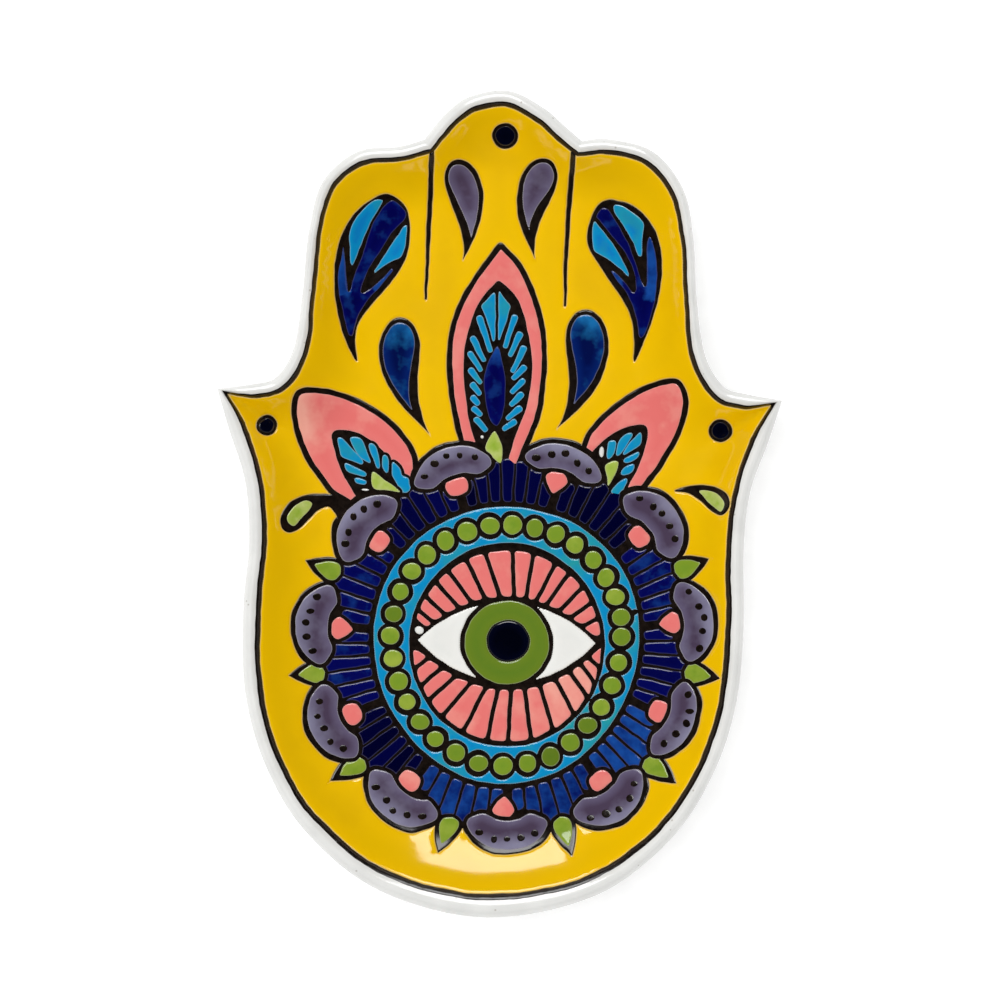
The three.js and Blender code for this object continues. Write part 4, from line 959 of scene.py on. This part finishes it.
SIDE_FEATHERS = {
    "left": (
        ((-31.3, 12.5), (-30.6, 8.8), (-26.5, 7.2), (-26.3, 8.0), (-30.5, 12.5)),
        ((-29.0, 12.4), (-27.1, 8.7), (-24.9, 7.5), (-25.0, 8.2), (-26.0, 11.0), (-26.6, 12.3),
         (-28.3, 12.7)),
        ((-25.3, 11.2), (-24.5, 8.8), (-23.5, 6.6), (-22.9, 6.8), (-23.2, 8.6), (-23.8, 11.0),
         (-24.6, 11.5)),
        ((-22.5, 9.2), (-22.5, 7.0), (-21.8, 5.7), (-21.3, 5.9), (-21.3, 8.5), (-21.9, 9.4)),
        ((-20.6, 7.9), (-20.5, 5.5), (-19.2, 3.3), (-19.0, 2.2), (-17.5, 1.9), (-16.8, 2.8), (-17.2, 5.0),
         (-18.7, 5.2), (-18.9, 6.7), (-20.2, 7.9)),
        ((-29.9, 7.4), (-29.5, 5.9), (-27.8, 5.3), (-25.9, 4.9), (-25.5, 5.4), (-26.3, 6.1), (-28.2, 6.8),
         (-29.3, 7.4)),
        ((-28.1, 4.4), (-27.5, 3.5), (-25.9, 3.4), (-25.4, 3.9), (-25.9, 4.3), (-27.4, 4.6)),
    ),
    "right": (
        ((21.2, 12.7), (21.0, 9.5), (21.6, 9.3), (22.3, 10.1), (22.8, 12.7), (22.3, 13.1)),
        ((23.2, 12.9), (22.7, 10.3), (23.2, 9.9), (24.1, 10.9), (26.0, 14.3), (25.4, 14.6), (24.0, 13.9)),
        ((27.2, 14.6), (25.2, 12.4), (24.1, 10.4), (24.5, 10.1), (26.0, 11.2), (27.6, 12.2), (27.7, 14.4)),
        ((27.4, 11.0), (25.3, 9.8), (24.3, 9.2), (24.5, 8.5), (26.1, 8.9), (27.3, 9.8)),
        ((26.5, 8.5), (24.7, 7.9), (23.8, 6.8), (24.2, 6.2), (25.8, 6.5), (26.5, 7.6)),
        ((25.0, 5.8), (23.4, 4.8), (21.9, 3.0), (22.7, 2.4), (23.9, 2.6), (24.4, 3.8), (25.2, 5.2)),
    ),
}


def lotus_run(name, edge):
    runs = [smooth(at(points), closed=False) for points in LOTUS[name][edge]]
    return [p for i, run in enumerate(runs) for p in (run if i == len(runs) - 1 else run[:-1])]


def lotus_ground(name):
    """Black ground of a lotus petal, closed below the scallops."""
    return straight([*lotus_run(name, "outer"), *at(LOTUS[name]["root"])])


def lotus_window(name):
    """Inside of the pink band, closed below the scallops."""
    return straight([*lotus_run(name, "inner"), *at(LOTUS[name]["root"])])


def feather_cell(tip_x, tip_y, foot_x, foot_y, width=1.45):
    """A slanting cell, wider and rounder at its tip than at its foot."""
    tip, foot = complex(tip_x, tip_y), complex(foot_x, foot_y)
    along = (tip - foot) / abs(tip - foot)
    wide, narrow = 0.5j * along * width, 0.36j * along * width
    corners = [foot + narrow, foot - narrow, tip - wide - 0.4 * along, tip - wide * 0.5, tip + wide * 0.5,
               tip + wide - 0.4 * along]
    return rounded(corners, 0.5)


CURL_LEFT = ((-37.1, 0), (-35.9, -0.5), (-36.2, -1.5), (-37.6, -3.2), (-39.2, -4.9), (-40.4, -4.3),
             (-40.7, -3.1), (-39.7, -1.4), (-38.4, -0.4))
CURL_LEFT_LINE = ((-40.1, -0.3), (-37.5, 0.9), (-34.7, 1.3), (-32.1, 1.4), (-28.5, 1.5), (-27.5, -2.5),
                  (-30.2, -4), (-31.5, -2.2), (-32.7, -1), (-34.7, -1.8), (-36.5, -3.7), (-38.3, -5.4),
                  (-40.1, -6.2), (-41.6, -5.3), (-41.9, -3.5), (-41.2, -1.6))
CURL_RIGHT = ((39.1, 3.5), (40.8, 3.7), (42.6, 3.0), (43.9, 1.3), (43.4, -0.4), (42.1, 0.3), (40.5, 1.8))
CURL_RIGHT_LINE = ((34.3, 3.3), (37.7, 4.5), (41.2, 4.6), (44.0, 3.3), (44.9, 0.9), (43.7, -1.0),
                   (41.7, -0.4), (39.7, 1.4), (37.3, 2.9))


def scallop_grounds():
    return [grow(scallop(k), sizes("line") * 0.92, 0.3) for k in range(PETALS)]


def medallion_grounds():
    """Black outlines of the medallion, its lotus petals and the left curled leaf, which run together."""
    lotus = [grow(lotus_ground(name), sizes("line") / 2, 0.2) for name in LOTUS]
    leaves = [pointed(LEAF_GROUND, k) for k in leaf_gaps()]
    middle = ellipse(MEDALLION, GROUND_RADIUS, GROUND_RADIUS)
    return [middle, *scallop_grounds(), *leaves, *lotus, smooth(at(CURL_LEFT_LINE))]


def finger_strokes():
    """The two lines between the fingers, tapered at their lower ends."""
    strokes = []
    for points in FINGER_LINES:
        middle = smooth(at(points), closed=False)
        half = [sizes("line") * 0.5 * (1 - 0.65 * (k / len(middle)) ** 2) for k in range(len(middle))]
        left = [p - h for p, h in zip(middle, half)]
        right = [p + h for p, h in zip(middle, half)]
        strokes.append([*left, *right[::-1]])
    return strokes


def border_edges():
    """Outer and inner edge of the border line."""
    rings = hand_rings()
    half = sizes("line") * 0.5
    edges = hand_ring(-half / sizes("rim"), rings), hand_ring(half / sizes("wall_run"), rings)
    return [straight(edge, 0.45) for edge in edges]


def lone_grounds():
    """Black outlines that lie free in the yellow field."""
    feathers = [feather_outlines(side)[0] for side in ("left", "right")]
    return [*(drop_outlines(name)[1] for name in DROPS), *feathers, smooth(at(CURL_RIGHT_LINE))]


def pools(name, cells, slot, nodes=(), run=0.55, grid=0.9, within=None, glaze=None):
    """A piece of glaze pools that lie on the black ground."""
    base, rise = sizes("line_rise") - SINK, sizes("pool_rise") + SINK
    return lay(name, cells, base, rise, run, pooled_glaze(glaze or slot), nodes, grid, 0.03, within)


def sheet(name, outlines, holes, nodes, within=None):
    """A black line or ground on the body."""
    cells, rise = [(outlines, holes, 0)], sizes("line_rise")
    return lay(name, cells, LIFT, rise, 0.35, resist_line(), nodes, 1.2, 0, within)


def tones(count, spread, seed):
    """Small differences of tone between like cells."""
    chance = random.Random(seed)
    return [chance.uniform(-spread, spread) for _ in range(count)]


class HAMSA_OT_body(bpy.types.Operator):
    """Makes the pressed and glazed body"""
    bl_idname = "hamsa.body"
    bl_label = "Body"

    def execute(self, context):
        dish_body()
        return {"FINISHED"}


class HAMSA_OT_border_line(bpy.types.Operator):
    """Draws the border line and the lines between the fingers"""
    bl_idname = "hamsa.border_line"
    bl_label = "Border line"

    def execute(self, context):
        outer, inner = border_edges()
        sheet("border_line_drawn", [outer], [inner], ["border_line"])
        sheet("finger_lines_drawn", finger_strokes(), [], ["border_line"], within=inner)
        return {"FINISHED"}


class HAMSA_OT_grounds(bpy.types.Operator):
    """Draws the black lines and grounds of the medallion, the lotus, the drops and the feathers"""
    bl_idname = "hamsa.grounds"
    bl_label = "Black grounds"

    def execute(self, context):
        inner = border_edges()[1]
        sheet("medallion_ground_drawn", medallion_grounds(), [], ["medallion_lines"], within=inner)
        for name in DROPS:
            sheet(name + "_drawn", [drop_outlines(name)[1]], [], [name + "_line"])
        for side in ("left", "right"):
            sheet("feather_%s_drawn" % side, [feather_outlines(side)[0]], [], ["feather_line_" + side])
        curl = smooth(at(CURL_RIGHT_LINE))
        sheet("curled_leaf_right_drawn", [curl], [], ["curled_leaf_right_line"], within=inner)
        return {"FINISHED"}


class HAMSA_OT_field(bpy.types.Operator):
    """Pours the yellow field and sets the three dots in it"""
    bl_idname = "hamsa.field"
    bl_label = "Yellow field and dots"

    def execute(self, context):
        inner = border_edges()[1]
        dots = {name: ellipse(place, radius, radius * 0.96, 0.25) for name, (place, radius) in DOTS.items()}
        holes = [*medallion_grounds(), *lone_grounds(), *finger_strokes(), *dots.values()]
        field, rise, glaze = [([inner], holes, 0)], sizes("field_rise"), pooled_glaze("yellow_glaze")
        lay("yellow_field_poured", field, LIFT, rise, 0.75, glaze, ["yellow_field"], 1.1,
            ripple=0.05)
        for name, outline in dots.items():
            sheet(name + "_drawn", [outline], [], [name])
            pools(name + "_pooled", [([grow(outline, -0.5)], [], 0.3)], "navy_glaze", [name], glaze="pupil")
        return {"FINISHED"}


class HAMSA_OT_drops(bpy.types.Operator):
    """Pours the lilac and blue drops"""
    bl_idname = "hamsa.drops"
    bl_label = "Drops"

    def execute(self, context):
        for name, (top, _, _, _, pool_tip, slot) in DROPS.items():
            def light(p, low=pool_tip[1], high=top[1]):
                share = (p.imag - low) / (high - low)
                return 0.75 * max(0, 1 - 2.4 * share) if slot == "lilac_glaze" else max(0, 2.2 * share - 1.45)
            pools(name + "_pooled", [([drop_outlines(name)[0]], [], light)], slot, [name])
        return {"FINISHED"}


def plume_tone(p):
    """Tone of a feather drop's plume: dark in the stem, lighter in its two arms."""
    aside = abs(p.real + 0.75)
    outer_arm = aside > 28.5 and p.imag > 40
    inner_arm = aside < 24.2 and 41 < p.imag < 46
    return 0.8 if outer_arm or inner_arm else 0


class HAMSA_OT_feathers(bpy.types.Operator):
    """Pours the plumes and vanes of the two feather drops"""
    bl_idname = "hamsa.feathers"
    bl_label = "Feather drops"

    def execute(self, context):
        for side in ("left", "right"):
            _, plume, outer_vane, inner_vane = feather_outlines(side)
            arms = [([plume], [], plume_tone)]
            pools("feather_plume_%s_pooled" % side, arms, "navy_glaze", ["feather_plume_" + side])
            vanes = [([vane], [grow(plume, 0.35)], 0.05) for vane in (outer_vane, inner_vane)]
            pools("feather_vanes_%s_pooled" % side, vanes, "cyan_glaze", ["feather_vanes_" + side])
        return {"FINISHED"}


class HAMSA_OT_lotus(bpy.types.Operator):
    """Pours the pink bands, buds, feathers and core of the three lotus petals"""
    bl_idname = "hamsa.lotus"
    bl_label = "Lotus petals"

    def execute(self, context):
        front = [ellipse(MEDALLION, GROUND_RADIUS, GROUND_RADIUS), *scallop_grounds()]
        half = sizes("line") / 2
        for name in LOTUS:
            bud = smooth(at(LOTUS[name]["bud"]))
            over = [grow(scallop(k), CELL_LINE) for k in range(PETALS)]
            leaf = [([bud], over, 0.1)]
            pools("lotus_bud_%s_pooled" % name, leaf, "pale_green_glaze", ["lotus_leaf_" + name])
            if name == "centre":
                cells = [rounded(at(points), 0.5) for points in TOP_FEATHERS]
                cells += [feather_cell(*ends) for ends in SLANTING_FEATHERS]
            else:
                cells = [grow(rounded(at(points), 0.6), 0.12) for points in SIDE_FEATHERS[name]]
            band = grow(lotus_ground(name), -half)
            holes = [grow(lotus_window(name), 0.25), *front, *(grow(cell, CELL_LINE) for cell in cells)]
            pale = (lambda p: max(0, (-34.5 - p.real) / 4)) if name == "left" else 0
            pink = [([band], holes, pale)]
            pools("lotus_band_%s_pooled" % name, pink, "pink_glaze", ["lotus_band_" + name], 0.7)
            taken = [grow(bud, CELL_LINE), *front]
            shifts = tones(len(cells), 0.15, 5)
            feathers = [([cell], taken, shift) for cell, shift in zip(cells, shifts)]
            pools("lotus_feathers_%s_pooled" % name, feathers, "cyan_glaze", ["lotus_feathers_" + name], 0.45)
        core = [([smooth(at(LOTUS_CORE))], [], lambda p: max(0, (p.imag - 26.5) / 4))]
        pools("lotus_core_pooled", core, "navy_glaze", ["lotus_core"])
        return {"FINISHED"}


class HAMSA_OT_scallops(bpy.types.Operator):
    """Pours the lilac scallops with their drawn dots, the pink beads between the fans, and the leaves"""
    bl_idname = "hamsa.scallops"
    bl_label = "Scallops, beads and leaves"

    def execute(self, context):
        chance = random.Random(11)
        rings = []
        for k in range(PETALS):
            def bluish(p, edge=36.5 + PETAL_REACH[k], shift=chance.uniform(-0.1, 0.15)):
                return shift + 0.7 * max(0, abs(p - MEDALLION) - edge) / 3
            pools("lilac_scallop_%d_pooled" % (k + 1), [([scallop(k)], [], bluish)], "lilac_glaze",
                  ["lilac_scallop_%d" % (k + 1)], 0.7)
            for across, out in SCALLOP_DOTS:
                out += PETAL_REACH[k] * 0.7
                spot = complex(across + chance.uniform(-0.35, 0.35), out + chance.uniform(-0.4, 0.4))
                place = turned([spot], petal_angle(k))[0]
                wide, high = chance.uniform(0.65, 0.9), chance.uniform(0.6, 0.8)
                rings.append(([ellipse(place, wide, high, 0.2)], [], 0))
        top = sizes("line_rise") + sizes("pool_rise")
        lay("scallop_dots_drawn", rings, top - 0.02, 0.1, 0.3, resist_line(), (), 0.4)
        beads = []
        for k, tone in enumerate(tones(PETALS, 0.2, 3)):
            beads.append(([pink_bead(k)], [grow(scallop(k), SCALLOP_LINE)], tone))
        pools("pink_beads_pooled", beads, "pink_glaze")
        inner = border_edges()[1]
        for n, k in enumerate(leaf_gaps()):
            holes = [grow(scallop(j % PETALS), LEAF_LINE) for j in (k, k + 1)]
            leaf = [([pointed(LEAF, k)], holes, chance.uniform(0, 0.4))]
            pools("leaf_%d_pooled" % (n + 1), leaf, "green_glaze", ["leaf_%d" % (n + 1)], within=inner)
        return {"FINISHED"}


class HAMSA_OT_fans(bpy.types.Operator):
    """Pours the navy fans"""
    bl_idname = "hamsa.fans"
    bl_label = "Navy fans"

    def execute(self, context):
        cells = []
        for k in range(PETALS):
            holes = [grow(scallop(j), SCALLOP_LINE) for j in (k, k + 1)]
            holes += [grow(pink_bead(j), PINK_LINE) for j in (k, k + 1)]
            if k in leaf_gaps():
                holes.append(grow(pointed(LEAF, k), PINK_LINE))
            fan = fan_cells(k)
            for cell, shift in zip(fan, tones(len(fan), 0.15, k)):
                cells.append(([cell], holes, FAN_TONES[k] + shift))
        pools("navy_fans_pooled", cells, "navy_glaze", ["navy_fans"], 0.5)
        return {"FINISHED"}


class HAMSA_OT_ring(bpy.types.Operator):
    """Pours the cyan ring and its green beads"""
    bl_idname = "hamsa.ring"
    bl_label = "Ring and green beads"

    def execute(self, context):
        chance = random.Random(21)
        middles = bead_middles()
        circles = [ellipse(middle, BEAD_RADIUS + BEAD_LINE, BEAD_RADIUS + BEAD_LINE) for middle in middles]

        def teal(p):
            turn = math.degrees(cmath.phase(p - RING))
            return sum(tone * max(0, 1 - abs(turn - middle) / half) for middle, half, tone in TEAL_PATCHES)

        outer = [on_ring(RING_OUTER, turn) for turn in range(360)]
        band = ([outer], [ellipse(RING, *RING_INNER), *circles, ellipse(*RING_SPECK)], teal)
        pools("cyan_ring_pooled", [band], "cyan_glaze", ["cyan_ring"], 0.5, 0.7)
        beads = []
        for middle in middles:
            stray = complex(chance.uniform(-0.12, 0.12), chance.uniform(-0.12, 0.12))
            across, along = (BEAD_RADIUS * chance.uniform(0.88, 1.05) for _ in range(2))
            beads.append(([ellipse(middle + stray, across, along, 0.3)], [], chance.uniform(-0.55, 0.45)))
        pools("green_beads_pooled", beads, "green_glaze", ["green_beads"], 0.7, 0.7)
        return {"FINISHED"}


class HAMSA_OT_eye(bpy.types.Operator):
    """Pours the white, iris and pupil of the eye, and its pink rays"""
    bl_idname = "hamsa.eye"
    bl_label = "Eye and rays"

    def execute(self, context):
        iris = ellipse(IRIS, IRIS_RADIUS, IRIS_RADIUS)
        pupil = ellipse(PUPIL, PUPIL_RADIUS, PUPIL_RADIUS)
        white = [([eye_outline()], [grow(iris, 0.75)], 0)]
        pools("eye_white_pooled", white, "eye_white_glaze", ["eye_white"], 0.6)
        pools("iris_pooled", [([iris], [grow(pupil, 0.1)], -0.45)], "green_glaze", ["iris"], 0.7)
        pools("pupil_pooled", [([pupil], [], 0)], "navy_glaze", ["pupil"], 0.7, glaze="pupil")
        rays = ray_cells()
        shifts = tones(len(rays), 0.1, 9)
        cells = [([ray], [], shift + pale) for ray, shift, pale in zip(rays, shifts, PALE_RAYS)]
        pools("eye_rays_pooled", cells, "pink_glaze", ["eye_rays"], 0.5)
        specks = [([ellipse(complex(x, y), across, along, 0.25)], [], 0) for x, y, across, along in SPECKS]
        base, rise = sizes("line_rise") - 0.04, sizes("pool_rise") + 0.1
        lay("bare_specks", specks, base, rise, 0.4, white_glazed_earthenware(), (), 0.6)
        return {"FINISHED"}


class HAMSA_OT_curled_leaves(bpy.types.Operator):
    """Pours the curled leaves at both sides of the medallion"""
    bl_idname = "hamsa.curled_leaves"
    bl_label = "Curled leaves"

    def execute(self, context):
        inner = border_edges()[1]
        for side, points in (("left", CURL_LEFT), ("right", CURL_RIGHT)):
            pools("curled_leaf_%s_pooled" % side, [([smooth(at(points))], [], 0.2)], "pale_green_glaze",
                  ["curled_leaf_" + side], within=inner)
        return {"FINISHED"}


class HAMSA_OT_stage(bpy.types.Operator):
    """Sets the floor, the soft studio light and the camera"""
    bl_idname = "hamsa.stage"
    bl_label = "Stage"

    def execute(self, context):
        studio_floor()
        studio_light()
        photo_camera()
        context.scene.view_settings.view_transform = "Standard"
        return {"FINISHED"}


def studio_floor():
    """A wide sheet of matt white paper that curves up at its far rim."""
    corners, faces = [(0, 0, 0)], []
    count = 96
    rows = ((0.4, 0), (1.2, 0), (3, 0), (4.2, 0.06), (5, 0.3))
    for radius, height in rows:
        for k in range(count):
            turn = 2 * math.pi * k / count
            corners.append((radius * math.cos(turn), radius * math.sin(turn), height))
    for k in range(count):
        faces.append((0, 1 + k, 1 + (k + 1) % count))
        for r in range(len(rows) - 1):
            a, b = 1 + r * count + k, 1 + r * count + (k + 1) % count
            faces.append((a, a + count, b + count, b))
    mesh = bpy.data.meshes.new("studio_floor")
    mesh.from_pydata(corners, [], faces)
    mesh.shade_smooth()
    material, tree = empty_material("matt white paper")
    place = add(tree, "ShaderNodeTexCoord").outputs["Object"]
    fibres = [(0.3, blended(shade("floor"), solid("F2F2F2"), 0.5)), (0.7, shade("floor"))]
    tint = add(tree, "ShaderNodeValToRGB", None, fibres, Fac=mottled(tree, place, 6, 4)).outputs["Color"]
    ray = add(tree, "ShaderNodeLightPath")
    seen = ray.outputs["Is Camera Ray"]
    for kind in ("Is Glossy Ray", "Is Transmission Ray"):
        either = add(tree, "ShaderNodeMath", {"operation": "MAXIMUM"})
        tree.links.new(seen, either.inputs[0])
        tree.links.new(ray.outputs[kind], either.inputs[1])
        seen = either.outputs["Value"]
    matt = {"Roughness": 0.9, "IOR": 1.45, "Specular IOR Level": 0.2}
    surface = add(tree, "ShaderNodeBsdfPrincipled", matt, Base_Color=tint, Emission_Color=tint,
                  Emission_Strength=ranged(tree, seen, {"To Max": 0.28}))
    add(tree, "ShaderNodeOutputMaterial", Surface=surface.outputs["BSDF"])
    mesh.materials.append(material)
    floor = bpy.data.objects.new("studio_floor", mesh)
    bpy.context.scene.collection.objects.link(floor)


def lamp(name, kind, place, settings):
    """A lamp that points at the dish."""
    data = bpy.data.lights.new(name, kind)
    for key, value in settings.items():
        setattr(data, key, value)
    made = bpy.data.objects.new(name, data)
    made.location = place
    made.rotation_mode = "QUATERNION"
    made.rotation_quaternion = (-Vector(place)).to_track_quat("-Z", "Y")
    bpy.context.scene.collection.objects.link(made)
    return made


def studio_light():
    """A white tent, a wide soft light from the upper left, and one soft box that the glaze mirrors."""
    wide = lamp("wide_light", "SUN", (-0.45, 0.3, 0.9), {"angle": math.radians(60), "energy": 0.9})
    wide.visible_glossy = False
    box = {"shape": "RECTANGLE", "size": 1.06, "size_y": 0.95, "energy": 25.6}
    lamp("soft_box", "AREA", (-0.05, 1.19, 0.91), box).visible_diffuse = False
    world = bpy.data.worlds.new("white_tent")
    bpy.context.scene.world = world
    world.cycles_visibility.glossy = False
    world.use_nodes = True
    tree = world.node_tree
    tree.nodes.clear()
    place = add(tree, "ShaderNodeTexCoord").outputs["Generated"]
    height = add(tree, "ShaderNodeSeparateXYZ", Vector=place).outputs["Z"]
    cloth = add(tree, "ShaderNodeValToRGB", None, [(0, solid("B8B8B8")), (0.6, solid("F4F4F4"))], Fac=height)
    light = add(tree, "ShaderNodeBackground", {"Strength": 0.94}, Color=cloth.outputs["Color"])
    add(tree, "ShaderNodeOutputWorld", Surface=light.outputs["Background"])


def photo_camera():
    """A long lens almost straight above, turned a little, so the hand leans to the right in the image."""
    target = Vector((0.49, 0.79, 12.5)) * MM
    elevation, roll, distance, view_width = math.radians(89.5), math.radians(1.2), 3, 0.1937
    back = Vector((0, -math.cos(elevation), math.sin(elevation)))
    data = bpy.data.cameras.new("photo_camera")
    data.sensor_width = 36
    data.lens = 36 * distance / view_width
    data.clip_start, data.clip_end = 0.05, 20
    camera = bpy.data.objects.new("photo_camera", data)
    turn = (-back).to_track_quat("-Z", "Y").to_matrix() @ Matrix.Rotation(roll, 3, "Z")
    camera.matrix_world = Matrix.Translation(target + back * distance) @ turn.to_4x4()
    bpy.context.scene.collection.objects.link(camera)
    bpy.context.scene.camera = camera


STEPS = (HAMSA_OT_body, HAMSA_OT_border_line, HAMSA_OT_grounds, HAMSA_OT_field, HAMSA_OT_drops,
         HAMSA_OT_feathers, HAMSA_OT_lotus, HAMSA_OT_scallops, HAMSA_OT_fans, HAMSA_OT_ring, HAMSA_OT_eye,
         HAMSA_OT_curled_leaves, HAMSA_OT_stage)


class HAMSA_PT_dish(bpy.types.Panel):
    """Sizes, colours and pieces of the dish"""
    bl_label = "Hamsa Trinket Dish"
    bl_idname = "HAMSA_PT_dish"
    bl_space_type = "VIEW_3D"
    bl_region_type = "UI"
    bl_category = "Dish"

    def draw(self, context):
        for group in (context.scene.hamsa_sizes, context.scene.hamsa_colours):
            box = self.layout.box()
            for name in group.__annotations__:
                box.prop(group, name)
        for step in STEPS:
            self.layout.operator(step.bl_idname)


CLASSES = (DishSizes, GlazeColours, *STEPS, HAMSA_PT_dish)


def register():
    for made in CLASSES:
        bpy.utils.register_class(made)
    bpy.types.Scene.hamsa_sizes = PointerProperty(type=DishSizes)
    bpy.types.Scene.hamsa_colours = PointerProperty(type=GlazeColours)


def unregister():
    del bpy.types.Scene.hamsa_colours
    del bpy.types.Scene.hamsa_sizes
    for made in reversed(CLASSES):
        bpy.utils.unregister_class(made)


def main():
    register()
    for step in STEPS:
        group, name = step.bl_idname.split(".")
        getattr(getattr(bpy.ops, group), name)()
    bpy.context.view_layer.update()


if __name__ == "__main__":
    main()
